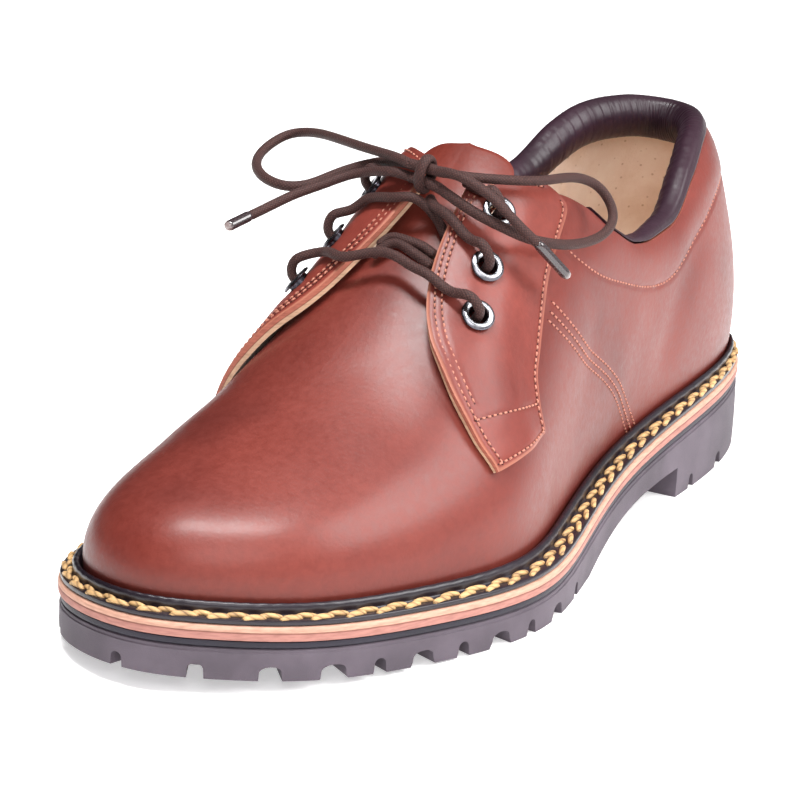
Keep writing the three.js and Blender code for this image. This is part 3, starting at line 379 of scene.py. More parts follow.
def sheetGrids(outer, inner, ringed=False):
    # outer face, inner face and the border strips between them; a ring has no strips where it closes
    grids = [outer, inner[::-1], np.stack([outer[:, 0], inner[:, 0]], 1), np.stack([inner[:, -1], outer[:, -1]], 1)]
    if not ringed:
        grids += [np.stack([inner[0], outer[0]]), np.stack([outer[-1], inner[-1]])]
    return grids


def distanceTo(points, line):
    # least distance from each point to the samples of a line
    flat = points.reshape(-1, 3)
    best = np.full(len(flat), 1e9)
    for sample in line:
        best = np.minimum(best, ((flat - sample) ** 2).sum(1))
    return np.sqrt(best).reshape(points.shape[:-1])


def steps(path, count):
    # count points spaced evenly by length along a line of points
    path = np.asarray(path, float)
    run = runOf(path)
    want = np.linspace(0, run[-1], count)
    return np.stack([np.interp(want, run, path[:, i]) for i in range(3)], -1)


def flow(points, spacing):
    # smooth line through points: a natural cubic over the chord lengths, sampled evenly
    points = np.asarray(points, float)
    run = np.r_[0, np.cumsum(np.sqrt(np.linalg.norm(np.diff(points, axis=0), axis=1)))]
    curve = openSpline(run, points)(np.linspace(0, run[-1], 30 * len(points)))
    return steps(curve, max(4, int(round(runOf(curve)[-1] / spacing)) + 1))


def tubeGrid(path, radius, sides, flat=1.0):
    # section carried along a path: the frame turns with the tangent alone; round ends shrink the last rings
    tangent = unit(np.gradient(path, axis=0))
    side = unit(np.cross(tangent[0], [0.0, 0.0, 1.0]) + 1e-6)
    frames = []
    for ahead in tangent:
        side = unit(side - ahead * (side @ ahead))
        frames.append(side)
    side = np.array(frames)
    run = runOf(path)
    radii = np.broadcast_to(np.asarray(radius, float), run.shape)
    ring = ringOf(side, np.cross(side, tangent), sides, flat)
    uv = np.stack(np.broadcast_arrays(run[:, None], np.linspace(0, 1, sides + 1)[None]), -1)
    caps = []
    bow = np.array([0.45, 0.8, 1.0]) * np.pi / 2
    for end, way in ((0, -1), (-1, 1)):
        centre = path[end] + tangent[end] * way * radii[end] * 0.6 * np.sin(bow)[:, None]
        scale = np.r_[np.cos(bow[:-1]), 0]
        caps.append(centre[:, None] + ring[end][None] * radii[end] * scale[:, None, None])
    grid = np.concatenate([caps[0][::-1], path[:, None] + ring * radii[:, None, None], caps[1]])
    return grid, np.concatenate([np.repeat(uv[:1], 3, 0), uv, np.repeat(uv[-1:], 3, 0)])


def carve(piece, **operand):
    # takes an object, or a collection of objects, out of a piece
    cut = piece.modifiers.new("cut", "BOOLEAN")
    cut.operation, cut.solver = "DIFFERENCE", "EXACT"
    for key, value in operand.items():
        setattr(cut, key, value)
    bpy.context.view_layer.update()
    shaped = bpy.data.meshes.new_from_object(piece.evaluated_get(bpy.context.evaluated_depsgraph_get()))
    piece.modifiers.clear()
    piece.data = shaped


def prism(name, outline, depth, place, along, up, out, material):
    # outline (along, up) drawn in its own plane at place and carried through depth along out
    ring = np.vstack([outline, outline[:1]])
    flat = place + ring[:, :1] * along + ring[:, 1:] * up
    middle = ring[:-1].mean(0)
    centre = np.repeat((place + middle[0] * along + middle[1] * up)[None], len(ring), 0)
    shift = out * depth / 2
    return makeBody(name, [np.stack([centre - shift, flat - shift, flat + shift, centre + shift])], [material])


# materials

def colour(r, g, b):
    # screen values 0 to 255 as linear light
    v = np.array([r, g, b]) / 255
    return (*np.where(v <= 0.04045, v / 12.92, ((v + 0.055) / 1.055) ** 2.4).tolist(), 1.0)


def addNode(tree, kind, **inputs):
    # a node with settings, then sockets by name or as i0, i1 by number; a socket takes a value or another's output
    node = tree.nodes.new(kind)
    for key, value in inputs.items():
        if key in ("operation", "data_type", "blend_type", "attribute_name", "uv_map", "feature", "node_tree"):
            setattr(node, key, value)
            continue
        socket = node.inputs[int(key[1:]) if key[0] == "i" and key[1:].isdigit() else key.replace("_", " ")]
        if isinstance(value, bpy.types.NodeSocket):
            tree.links.new(value, socket)
        else:
            socket.default_value = value
    return node


def math2(tree, operation, a, b=0.0):
    return addNode(tree, "ShaderNodeMath", operation=operation, i0=a, i1=b).outputs[0]


def objectPlace(tree):
    return tree.nodes.new("ShaderNodeTexCoord").outputs["Object"]


def noise(tree, place, scale, detail=2.0, **more):
    return addNode(tree, "ShaderNodeTexNoise", Vector=place, Scale=scale, Detail=detail, **more).outputs["Fac"]


def spread(tree, value, middle, factor):
    # (value - middle) * factor
    return math2(tree, "MULTIPLY", math2(tree, "SUBTRACT", value, middle), factor)


def newGroup(name, inputs, outputs):
    tree = bpy.data.node_groups.new(name, "ShaderNodeTree")
    for label, value in inputs.items():
        tree.interface.new_socket(label, in_out="INPUT", socket_type="NodeSocketFloat").default_value = value
    for label in outputs:
        tree.interface.new_socket(label, in_out="OUTPUT", socket_type="NodeSocketFloat")
    return tree, tree.nodes.new("NodeGroupInput"), tree.nodes.new("NodeGroupOutput")


def ramp(tree, value, *stops):
    # colour ramp from (place, colour) pairs
    node = tree.nodes.new("ShaderNodeValToRGB")
    tree.links.new(value, node.inputs[0])
    elements = node.color_ramp.elements
    while len(elements) < len(stops):
        elements.new(0.5)
    for element, (place, tint) in zip(elements, stops):
        element.position = place
        element.color = tint
    return node.outputs[0]


def buildGrainGroup():
    # leather grain on Object coordinates: pores from cells, fine pebble from noise, slow change of tone
    sizes = dict(Cells=900.0, Pebble=2600.0, Tone=22.0)
    tree, given, out = newGroup("leatherGrain", sizes, ("Height", "Tone", "Mottle"))
    place = objectPlace(tree)
    bent = addNode(tree, "ShaderNodeTexNoise", Vector=place, Scale=160.0, Detail=2.0).outputs["Color"]
    shift = addNode(tree, "ShaderNodeMix", data_type="VECTOR", i0=0.0015, i4=place, i5=bent).outputs[1]
    cells = addNode(tree, "ShaderNodeTexVoronoi", feature="SMOOTH_F1", Vector=shift, Scale=given.outputs["Cells"])
    low = math2(tree, "MULTIPLY", cells.outputs["Distance"], 0.65)
    pebble = noise(tree, place, given.outputs["Pebble"], 3.0)
    height = addNode(tree, "ShaderNodeMath", operation="MULTIPLY_ADD", i0=pebble, i1=0.45, i2=low).outputs[0]
    tree.links.new(height, out.inputs["Height"])
    tree.links.new(noise(tree, place, given.outputs["Tone"], 3.0), out.inputs["Tone"])
    tree.links.new(noise(tree, place, 420.0, 4.0, Roughness=0.65), out.inputs["Mottle"])
    return tree


def slantedRidges(tree, given, operation):
    # |sin(pi (u / pitch + or - v strands))| on the UV map, u millimetres along the piece, v once round it
    uv = addNode(tree, "ShaderNodeUVMap", uv_map="UVMap").outputs[0]
    parts = addNode(tree, "ShaderNodeSeparateXYZ", Vector=uv).outputs
    along = math2(tree, "DIVIDE", parts[0], given.outputs["Pitch"])
    turned = math2(tree, "MULTIPLY", parts[1], given.outputs["Strands"])
    phase = math2(tree, "MULTIPLY", math2(tree, operation, along, turned), math.pi)
    return math2(tree, "ABSOLUTE", math2(tree, "SINE", phase))


def buildTwistGroup():
    # plied thread: one family of slanted ridges, and its grooves (1 - ridge) squared, which mask the painted shade
    tree, given, out = newGroup("threadTwist", dict(Pitch=1.6, Strands=2.0), ("Height", "Groove"))
    ridge = slantedRidges(tree, given, "ADD")
    tree.links.new(ridge, out.inputs["Height"])
    tree.links.new(math2(tree, "POWER", math2(tree, "SUBTRACT", 1.0, ridge), 2.0), out.inputs["Groove"])
    return tree


def buildBraidGroup():
    # woven cord: two crossing families of slanted ridges, multiplied
    tree, given, out = newGroup("cordBraid", dict(Pitch=0.95, Strands=10.0), ("Height", "Fleck"))
    waves = [slantedRidges(tree, given, operation) for operation in ("ADD", "SUBTRACT")]
    tree.links.new(math2(tree, "MULTIPLY", *waves), out.inputs["Height"])
    tree.links.new(noise(tree, objectPlace(tree), 1800.0), out.inputs["Fleck"])
    return tree


grainGroup, twistGroup, braidGroup = buildGrainGroup(), buildTwistGroup(), buildBraidGroup()


def startMaterial(name, **values):
    # a Principled material with its constant values on the shader's own sockets
    material = bpy.data.materials.new(name)
    material.use_nodes = True
    shader = material.node_tree.nodes["Principled BSDF"]
    for key, value in values.items():
        shader.inputs[key.replace("_", " ")].default_value = value
    material.diffuse_color = tuple(shader.inputs["Base Color"].default_value)
    return material, material.node_tree, shader


def dress(made, tint, height=None, distance=0.0, strength=1.0):
    # joins colour and bump to a started material's shader
    material, tree, shader = made
    tree.links.new(tint, shader.inputs["Base Color"])
    if height:
        node = addNode(tree, "ShaderNodeBump", Strength=strength, Distance=distance, Height=height)
        tree.links.new(node.outputs[0], shader.inputs["Normal"])
    return material


def blend(tree, factor, a, b, mode="MIX"):
    return addNode(tree, "ShaderNodeMix", data_type="RGBA", blend_type=mode, i0=factor, i6=a, i7=b).outputs[2]


def readValue(tree, name):
    return addNode(tree, "ShaderNodeAttribute", attribute_name=name).outputs["Fac"]


def leatherMaterial(name, base, dark, light, roughness, coat, cells=900.0, depth=0.00012, shade=None, rim=None):
    # grain gives bump, roughness and a little tone; shade and rim name attributes, 1 where shade is painted in
    # and where its pale cut edge shows
    made = startMaterial(
        name, Base_Color=base, Roughness=roughness, Coat_Weight=coat, Coat_Roughness=0.27, Specular_IOR_Level=0.28)
    _, tree, shader = made
    grain = addNode(tree, "ShaderNodeGroup", node_tree=grainGroup, Cells=cells).outputs
    tinted = ramp(tree, grain["Tone"], (0.32, dark), (0.5, base), (0.70, light))
    specks = ramp(tree, grain["Mottle"], (0.35, (0.91, 0.90, 0.90, 1)), (0.62, (1.04, 1.03, 1.03, 1)))
    tint = blend(tree, 1.0, tinted, specks, "MULTIPLY")
    # painted shade: where the shade attribute is 1, the tint goes to dark at 0.4 times its level
    if shade:
        deep = (*(0.4 * level for level in dark[:3]), 1.0)
        tint = blend(tree, readValue(tree, shade), tint, deep)
    if rim:
        tint = blend(tree, readValue(tree, rim), tint, colour(166, 104, 84))
    rough = addNode(
        tree, "ShaderNodeMapRange", i0=grain["Mottle"], i1=0.3, i2=0.7, i3=roughness - 0.05, i4=roughness + 0.09)
    tree.links.new(rough.outputs[0], shader.inputs["Roughness"])
    return dress(made, tint, grain["Height"], depth, 0.55)


def layeredEdge(name, upper, line, lower, split=0.45):
    # cut edge of two layers: the attribute depth runs from 0 at the top to 1 at the bottom
    made = startMaterial(name, Base_Color=upper, Roughness=0.62, Specular_IOR_Level=0.35)
    tree = made[1]
    place = objectPlace(tree)
    stretch = addNode(tree, "ShaderNodeMapping", Vector=place, Scale=(260.0, 260.0, 1600.0)).outputs[0]
    fibres = noise(tree, stretch, 1.0, 4.0)
    depth = math2(tree, "ADD", readValue(tree, "depth"), spread(tree, noise(tree, place, 70.0), 0.5, 0.10))
    bands = ramp(tree, depth, (0.0, upper), (split - 0.08, upper), (split, line), (split + 0.08, lower), (1.0, lower))
    worn = ramp(tree, fibres, (0.30, (0.80, 0.76, 0.74, 1)), (0.60, (1.05, 1.04, 1.02, 1)))
    return dress(made, blend(tree, 1.0, bands, worn, "MULTIPLY"), fibres, 0.0002, 0.7)


def threadMaterial(name, base, dark, roughness, pitch, strands, contrast):
    # painted shade in the grooves of the twist, and darker in random patches
    made = startMaterial(name, Base_Color=base, Roughness=roughness, Specular_IOR_Level=0.4)
    tree = made[1]
    twist = addNode(tree, "ShaderNodeGroup", node_tree=twistGroup, Pitch=pitch, Strands=strands).outputs
    patches = spread(tree, noise(tree, objectPlace(tree), 190.0, 3.0), 0.42, 0.9)
    shade = math2(tree, "ADD", math2(tree, "MULTIPLY", twist["Groove"], contrast), patches)
    return dress(made, ramp(tree, shade, (0.0, base), (0.8, dark)), twist["Height"], 0.0002, contrast)


def rubberMaterial(name, base, dark, light, roughness):
    made = startMaterial(name, Base_Color=base, Roughness=roughness, Specular_IOR_Level=0.35)
    tree = made[1]
    place = objectPlace(tree)
    tint = ramp(tree, noise(tree, place, 45.0, 4.0), (0.3, dark), (0.5, base), (0.72, light))
    return dress(made, tint, noise(tree, place, 3200.0, 3.0), 0.00015, 0.6)


def liningMaterial(name, base, dark, light):
    # soft leather with its pores as dark dots
    made = startMaterial(name, Base_Color=base, Roughness=0.85, Specular_IOR_Level=0.2, Sheen_Weight=0.15)
    tree = made[1]
    place = objectPlace(tree)
    tint = ramp(tree, noise(tree, place, 55.0, 5.0, Roughness=0.6), (0.3, dark), (0.5, base), (0.7, light))
    pores = addNode(tree, "ShaderNodeTexVoronoi", Vector=place, Scale=330.0).outputs["Distance"]
    dots = ramp(tree, pores, (0.08, (0.62, 0.52, 0.42, 1)), (0.17, (1, 1, 1, 1)))
    return dress(made, blend(tree, 0.8, tint, dots, "MULTIPLY"), noise(tree, place, 1500.0, 4.0), 0.0003, 0.6)


def braidMaterial(name, base, dark, light):
    made = startMaterial(
        name, Base_Color=base, Roughness=0.6, Specular_IOR_Level=0.25, Sheen_Weight=0.05, Sheen_Roughness=0.4)
    tree = made[1]
    braid = addNode(tree, "ShaderNodeGroup", node_tree=braidGroup).outputs
    # colour from the braid's height: painted shade in its valleys and painted highlight on its ridges, with random
    # flecks
    mixed = math2(tree, "ADD", math2(tree, "MULTIPLY", braid["Height"], 0.6), spread(tree, braid["Fleck"], 0.4, 0.9))
    return dress(made, ramp(tree, mixed, (0.0, dark), (0.45, base), (0.9, light)), braid["Height"], 0.00016, 0.6)


def shades(*triples):
    return [colour(*triple) for triple in triples]


upperLeather = leatherMaterial(
    "upperLeather", *shades((111, 45, 37), (95, 37, 31), (118, 50, 41)), 0.43, 0.22, shade="shade")
facingLeather = leatherMaterial(
    "facingLeather", *shades((122, 52, 43), (106, 43, 36), (128, 56, 46)), 0.45, 0.17, shade="shade", rim="rim")
tongueLeather = leatherMaterial("tongueLeather", *shades((106, 41, 31), (92, 34, 27), (112, 45, 34)), 0.48, 0.10)
collarLeather = leatherMaterial(
    "collarLeather", *shades((46, 27, 38), (36, 20, 29), (54, 33, 44)), 0.40, 0.16, cells=620.0, depth=0.00018)
weltLeather = leatherMaterial("weltLeather", *shades((27, 20, 28), (17, 12, 18), (35, 27, 36)), 0.34, 0.4, cells=700.0)
rawEdge = layeredEdge("rawEdge", *shades((186, 112, 94), (134, 74, 60), (216, 180, 150)), 0.5)
plainEdge = layeredEdge("plainEdge", *shades((176, 100, 84), (120, 58, 48), (176, 110, 90)), 0.6)
midsoleEdge = layeredEdge("midsoleEdge", *shades((200, 154, 134), (116, 70, 60), (172, 120, 110)), 0.47)
lining = liningMaterial("lining", *shades((244, 222, 206), (230, 203, 182), (250, 234, 220)))
insoleLeather = liningMaterial("insoleLeather", *shades((220, 196, 166), (200, 172, 140), (232, 212, 186)))
weltThread = threadMaterial("weltThread", *shades((208, 168, 116), (78, 48, 32)), 0.5, 3.3, 2.0, 0.5)
seamThread = threadMaterial("seamThread", *shades((192, 128, 108), (140, 82, 68)), 0.6, 0.7, 2.0, 0.4)
darkRubber = rubberMaterial("darkRubber", *shades((30, 26, 38), (22, 19, 29), (37, 32, 46)), 0.5)
soleRubber = rubberMaterial("soleRubber", *shades((82, 73, 82), (68, 60, 68), (98, 88, 98)), 0.62)
laceBraid = braidMaterial("laceBraid", *shades((64, 39, 36), (40, 23, 22), (90, 59, 54)))
pinhole = startMaterial("pinhole", Base_Color=colour(66, 27, 24), Roughness=0.9)[0]


def buildMetal():
    # smeared metal; the attribute rim is 1 where the ring turns down, with painted shade there, and 0 on the ring's
    # top, with a painted highlight there
    made = startMaterial(
        "eyeletMetal", Base_Color=colour(158, 160, 166), Metallic=1.0, Roughness=0.26, Specular_IOR_Level=0.5)
    _, tree, shader = made
    smear = noise(tree, objectPlace(tree), 700.0, 3.0)
    worn = addNode(tree, "ShaderNodeMapRange", i0=smear, i1=0.3, i2=0.7, i3=0.18, i4=0.38)
    tree.links.new(worn.outputs[0], shader.inputs["Roughness"])
    return dress(made, ramp(tree, readValue(tree, "rim"), (0.0, colour(190, 192, 197)), (0.5, colour(132, 131, 138)),
                            (1.0, colour(76, 73, 81))))


def buildAgletPlastic():
    # clear sleeve shrunk onto the cord: its dark braid shows under a glossy coat, with painted shade in the braid's
    # valleys, paler towards the tip
    made = startMaterial(
        "agletPlastic", Base_Color=colour(90, 74, 76), Roughness=0.16, Coat_Weight=1.0, Coat_Roughness=0.06)
    tree = made[1]
    braid = addNode(tree, "ShaderNodeGroup", node_tree=braidGroup, Pitch=1.4).outputs["Height"]
    dark = ramp(tree, braid, (0.0, colour(34, 26, 28)), (0.8, colour(62, 50, 52)))
    return dress(made, blend(tree, readValue(tree, "tip"), dark, colour(150, 134, 132)))


eyeletMetal, agletPlastic = buildMetal(), buildAgletPlastic()
print("materials ready")


# sole

sole = dict(
    edgeCount=720, capCount=10, midsole=4.0, rubber=1.7, heelBreast=80.0, treadStart=157.0, treadEnd=204.0,
    arch=9.5, cleat=4.4, cleatGap=6.8, wideShare=0.8, wideReach=16.0, narrowReach=9.0, topInset=0.7, below=10.0,
    groove=dict(width=4.5, pitch=18.0, depth=3.4, edgeBand=17.0, endShare=0.9, half=(0.78, 0.62), middle=(0.02, -0.1)),
    gaps=[(5.22, .47), (5.67, .91), (6.07, .50), (6.40, 1.0), (6.74, .53), (7.09, 1.03), (7.47, .56), (7.89, 1.12),
          (8.48, .94), (9.24, .68), (10.20, .56), (11.50, .74), (12.20, .94), (12.75, .56), (13.20, 1.03), (13.60, .53),
          (13.98, 1.0), (14.36, .50), (14.75, .91), (2.81, .47), (2.14, .74), (1.25, .50), (0.0, .74), (18.75, .50),
          (17.86, .74), (17.19, .47)],
    midsoleRows=[(2.2, 0.0, 0.0), (0.9, 0.05, 0.0), (0.45, 0.22, 0.04), (0.15, 0.55, 0.10), (0.02, 1.0, 0.2),
                 (0.0, 1.6, 0.40), (0.12, 1.85, 0.46), (0.12, 1.95, 0.49), (0.0, 2.2, 0.54), (0.0, 3.0, 0.75),
                 (0.02, 3.6, 0.9)],
    rubberRows=[(0.75, 0.0), (0.6, 0.15), (0.55, 0.6), (0.6, 1.4)],
    insoleRows=[(4.0, -2.7), (1.5, -2.9), (0.4, -3.1), (0.0, -2.6), (0.0, 0.0)],
)


def soleBody(name, material, slot, node, top, rows, base=lambda s: 0 * s):
    # A layer of the sole from rows, from the top down: inset from the sole's edge beyond base, drop below top or a
    # height of its own, share of the depth. Caps close its upper and lower face.
    s = onceRound(sole["edgeCount"], around)
    half = np.linspace(0, toeTip, sole["edgeCount"] // 2 + 1)
    f = np.linspace(0, 1, sole["capCount"] + 1)
    edge = lambda row, at: insetEdge(at, base(at) + row[0])
    height = lambda row, u: row[1](u) if callable(row[1]) else top(u) - row[1]

    def cap(row):
        (u1, w1), (u2, w2) = edge(row, half), edge(row, np.where(half == 0, 0, around - half))
        u = u1[:, None] * (1 - f) + u2[:, None] * f
        return toShoe(u, w1[:, None] * (1 - f) + w2[:, None] * f, height(row, u))
    loops = np.stack([toShoe(*edge(row, s), height(row, edge(row, s)[0])) for row in rows], 1)
    share = np.array([row[2] if len(row) > 2 else 0.5 for row in rows])
    depth = [np.broadcast_to(level, shape) for level, shape in (
        (share, loops.shape[:2]), (share[0], (len(half), len(f))), (share[-1], (len(half), len(f))))]
    return addPiece(name, [loops, cap(rows[0]), cap(rows[-1])[::-1]], [material], slot, (node,),
                    values=dict(depth=depth), sharp=30)


def treadHeight(u):
    # underside without the gaps: level heel and tread, the arch 1 - f squared between, toe spring in front
    f = (u - sole["heelBreast"]) / (sole["treadStart"] - sole["heelBreast"])
    arch = np.where((u < sole["heelBreast"]) | (u > sole["treadStart"]), 0, sole["arch"] * (1 - f * f))
    return np.where(u > sole["treadEnd"], np.maximum(0, deckHeight(u) - last["ballSeat"]), arch)


def gapOutline(width, top, low):
    # a gap's outline: flared foot, straight flanks, round crown
    half, crownHeight = width / 2, 1.5
    flank = [(1.28, low), (1.16, max(low + 0.5, 0.2) + top * 0.12), (0.98, top * 0.45)]
    crown = [(half * math.cos(a) * 0.92, top - crownHeight + crownHeight * math.sin(a))
             for a in np.linspace(0.15, math.pi - 0.15, 7)]
    return [*((half * x, y) for x, y in flank), *crown, *((-half * x, y) for x, y in flank[::-1])]


def makeOutsole():
    # fine block less the arch, the gaps round its rim and the grooves across its tread
    ahead, up, out = np.array([0.0, -1.0, 0.0]), np.array([0.0, 0.0, 1.0]), np.array([1.0, 0.0, 0.0])
    bottom = lambda u: deckHeight(u) - sole["midsole"] - sole["rubber"] - 2 * clearance
    i = sole["topInset"]
    rows = [(i + 0.5, 0.0), (i, 0.3), (i - 0.1, 1.0), (i - 0.4, 1.3), (i - 0.45, lambda u: bottom(u) * 0.5 + 0.5),
            (i - 0.3, lambda u: bottom(u) * 0.25), (i, lambda u: 0 * u - 2.0)]
    block = soleBody("outsoleRubber", soleRubber, "sole_rubber", "outsole", bottom, rows)
    breast, start, final = sole["heelBreast"], sole["treadStart"], sole["treadEnd"]
    along = np.r_[np.linspace(breast, start, 24), np.linspace(final, soleLength, 20)]
    past, deep = 20, -sole["below"]
    profile = [(-past, deep), (-past, 0), (breast, 0), *zip(along, treadHeight(along + 1e-6)),
               (soleLength + past, float(treadHeight(np.array(soleLength))) + 1), (soleLength + past, deep)]
    cutters = [prism("cutUnder", profile, 260.0, np.array([0.0, middleAlong, 0.0]), ahead, up, out, soleRubber)]

    def cutGap(name, u, width, depth, length, place, across, through):
        # an opening of the tread's underside at u along the shoe
        low = float(treadHeight(u))
        outline = gapOutline(width, low + depth, low - 1.5)
        cutters.append(prism(name, outline, length, place, across, up, through, soleRubber))
    for k, (s, share) in enumerate(sole["gaps"]):
        reach = sole["wideReach"] if share > sole["wideShare"] else sole["narrowReach"]
        u, w = insetEdge(np.array(float(s)), reach / 2)
        nu, nw = edgeNormal(np.array(float(s)))
        outward = np.array([nw, -nu, 0.0])
        cutGap(f"cutGap{k}", u, share * sole["cleatGap"], sole["cleat"], reach + 6, toShoe(u, w, 0.0),
               np.cross(up, outward), outward)
    groove = sole["groove"]
    first, final = start + groove["pitch"], groove["endShare"] * soleLength
    for k, u in enumerate(np.arange(first, final, groove["pitch"])):
        wide, middle = (a + (b - a) * (u - first) / (final - first) for a, b in (groove["half"], groove["middle"]))
        cutGap(f"cutGroove{k}", np.array(u), groove["width"] * 0.9, groove["depth"],
               2 * (wide * halfWidth - groove["edgeBand"] / 2), toShoe(u, middle * halfWidth, 0.0), -ahead, out)
    group = bpy.data.collections.new("cutters")
    for cutter in cutters:
        bpy.context.scene.collection.objects.unlink(cutter)
        group.objects.link(cutter)
    bpy.context.scene.collection.children.link(group)
    carve(block, operand_type="COLLECTION", collection=group)
    block.data.polygons.foreach_set("use_smooth", np.ones(len(block.data.polygons), bool))
    block.data.set_sharp_from_angle(angle=math.radians(32))
    for cutter in cutters:
        bpy.data.objects.remove(cutter)
    bpy.data.collections.remove(group)


soleBody("midsoleLeather", midsoleEdge, "natural_leather", "midsole", deckHeight,
         [*sole["midsoleRows"], (0.2, sole["midsole"], 1.0)])
soleBody("rubberLine", darkRubber, "dark_rubber", "rubber_midsole",
         lambda u: deckHeight(u) - sole["midsole"] - clearance, [*sole["rubberRows"], (0.75, sole["rubber"])])
makeOutsole()
print("sole layers ready")

welt = dict(
    bead=[(0.0, 0.3), (0.02, 2.6), (0.04, 3.9), (0.22, 4.75), (0.48, 5.05), (0.75, 4.8), (0.95, 4.1), (1.02, 3.2),
          (1.04, 2.4), (1.14, 1.95)],
    strap=[(0.12, 1.75), (0.5, 1.7), (0.8, 1.65), (0.94, 1.5), (1.0, 1.15), (1.0, 0.3)],
    beadWidth=2.6, strapStart=1.14, edgeInset=0.7, count=900, ripples=118, ripple=0.05,
)


def beadWidth(s):
    return welt["beadWidth"] * np.clip(0.35 + 0.65 * rib["shelf"](s), 0.6, 1.0)


def weltPoint(s, out, height):
    # place on the welt: out from the upper's foot, leaning with its wall, height over the deck
    lean = rib["bulge"](s) * halfWidth * height / (rib["rise"](s) * instep)
    u, w = insetEdge(s, shelfWidth(s) - out - lean)
    return toShoe(u, w, deckHeight(u) + height)


def strap(s):
    # inner edge of the flat strap, out from the upper's foot, and its width
    inner = clearance + welt["strapStart"] * beadWidth(s)
    return inner, shelfWidth(s) - welt["edgeInset"] - inner


def makeWelt():
    # bead against the upper and flat strap out to the edge, one section carried round
    s = onceRound(welt["count"], around)
    bead = beadWidth(s)
    edge, room = strap(s)
    ripple = welt["ripple"] * np.sin(2 * np.pi * welt["ripples"] * s / around)
    rows = [weltPoint(s, clearance + share * bead, height + ripple * (height > 3)) for share, height in welt["bead"]]
    rows += [weltPoint(s, edge + share * room, np.full(s.shape, height)) for share, height in welt["strap"]]
    return addPiece("weltBand", [np.stack([*rows, rows[0]], 1)], [weltLeather], "welt_leather", ("welt",), sharp=50)


def bundle(starts, ends, normals, radius, sunk, arch, rings=6, sides=6):
    # short round stitches from starts to ends: each is a spindle, radius sqrt(1 - x^4), bowed up by arch
    f = np.linspace(0, 1, rings)
    width = np.sqrt(np.clip(1 - (2 * f - 1) ** 4, 0, 1))
    width[[0, -1]] = 0
    side = unit(np.cross(unit(ends - starts), normals))
    over = np.cross(side, unit(ends - starts))
    lift = (arch * np.sin(np.pi * f) - sunk)[None, :, None]
    centre = starts[:, None] + (ends - starts)[:, None] * f[None, :, None] + over[:, None] * lift
    grid = centre[:, :, None] + ringOf(side, over, sides)[:, None] * (radius * width)[None, :, None, None]
    size = np.linalg.norm(ends - starts, axis=1)[:, None, None]
    along = size * f[None, :, None] + np.arange(len(starts))[:, None, None] * 0.37
    return grid, np.stack(np.broadcast_arrays(along, np.linspace(0, 1, sides + 1)[None, None]), -1)


weltSeam = dict(
    pitch=9.0, length=6.9, radius=0.80, inRow=0.24, outRow=0.66, slant=0.30, sunk=0.15, arch=0.5, height=1.75,
    pitchSpread=0.25, lengthSpread=0.05, placeSpread=0.02,
)


def makeWeltSeam():
    # two rows of thick slanted stitches on the strap, half a pitch apart, their ends crossing like a braid
    fine = np.linspace(0, around, 6001)
    edge, room = strap(fine)
    run = runOf(weltPoint(fine, edge + 0.5 * room, np.full(fine.shape, 1.7)))
    count = int(run[-1] / weltSeam["pitch"])
    random = np.random.default_rng(7)
    grids, uvs = [], []
    for share, offset, slant in ((weltSeam["inRow"], 0.0, -1.0), (weltSeam["outRow"], 0.5, 1.0)):
        at = (np.arange(count) + offset) * run[-1] / count + random.normal(0, weltSeam["pitchSpread"], count)
        half = weltSeam["length"] / 2 * (1 + random.normal(0, weltSeam["lengthSpread"], count))
        ends = []
        for way in (-1, 1):
            s = np.interp(np.mod(at + way * half, run[-1]), run, fine)
            inner, wide = strap(s)
            place = share + way * slant * weltSeam["slant"] * 0.5 + random.normal(0, weltSeam["placeSpread"], count)
            ends.append(weltPoint(s, inner + np.clip(place, 0.08, 0.92) * wide, np.full(s.shape, weltSeam["height"])))
        up = np.repeat(np.array([[0.0, 0.0, 1.0]]), count, 0)
        grid, uv = bundle(*ends, up, weltSeam["radius"], weltSeam["sunk"], weltSeam["arch"], rings=9, sides=9)
        grids.append(grid)
        uvs.append(uv)
    return addPiece("weltStitches", grids, [weltThread], "natural_leather", uvs=uvs, sharp=80)


makeWelt()
makeWeltSeam()
print("welt ready")


# upper

seams = dict(
    quarter=[(4.98, .50), (4.86, .455), (4.70, .40), (4.50, .335), (4.18, .25), (3.96, .18), (3.77, .10), (3.60, .02)],
    collar=[(0.0, .520), (0.8, .515), (1.5, .495), (2.0, .465), (2.5, .405), (2.75, .370), (3.05, .342), (3.35, .348),
            (3.60, .372), (3.85, .408), (4.10, .450), (4.35, .510), (4.50, .560), (4.62, .610)],
)
creases = [  # places (s, t), half width, height: soft troughs below zero, soft ridges above
    ([(2.62, .36), (2.95, .27), (3.15, .18)], 8.0, -0.9),
    ([(17.4, .36), (17.05, .27), (16.85, .18)], 8.0, -0.9),
    ([(3.7, .30), (3.95, .20), (4.05, .12)], 9.0, 0.5),
    ([(1.2, .42), (1.0, .30), (0.9, .18)], 9.0, -0.5),
    ([(18.8, .42), (19.0, .30), (19.1, .18)], 9.0, -0.5),
    ([(6.75, .52), (6.95, .68), (7.0, .84)], 8.0, -0.25),
    ([(7.25, .50), (7.35, .66), (7.4, .82)], 8.0, 0.15),
    ([(13.3, .50), (13.1, .66), (13.0, .82)], 8.0, -0.3),
    ([(12.9, .40), (12.7, .56), (12.6, .72)], 8.0, 0.2),
    ([(8.4, .62), (9.6, .70), (10.8, .72)], 9.0, -0.3),
    ([(5.6, .12), (6.1, .10), (6.6, .12)], 7.0, -0.5),
    ([(14.4, .12), (13.9, .10), (13.4, .12)], 7.0, -0.5),
    ([(4.3, .35), (4.6, .22), (5.1, .14)], 8.0, -0.6),
    ([(15.7, .35), (15.4, .22), (14.9, .14)], 8.0, -0.6),
]


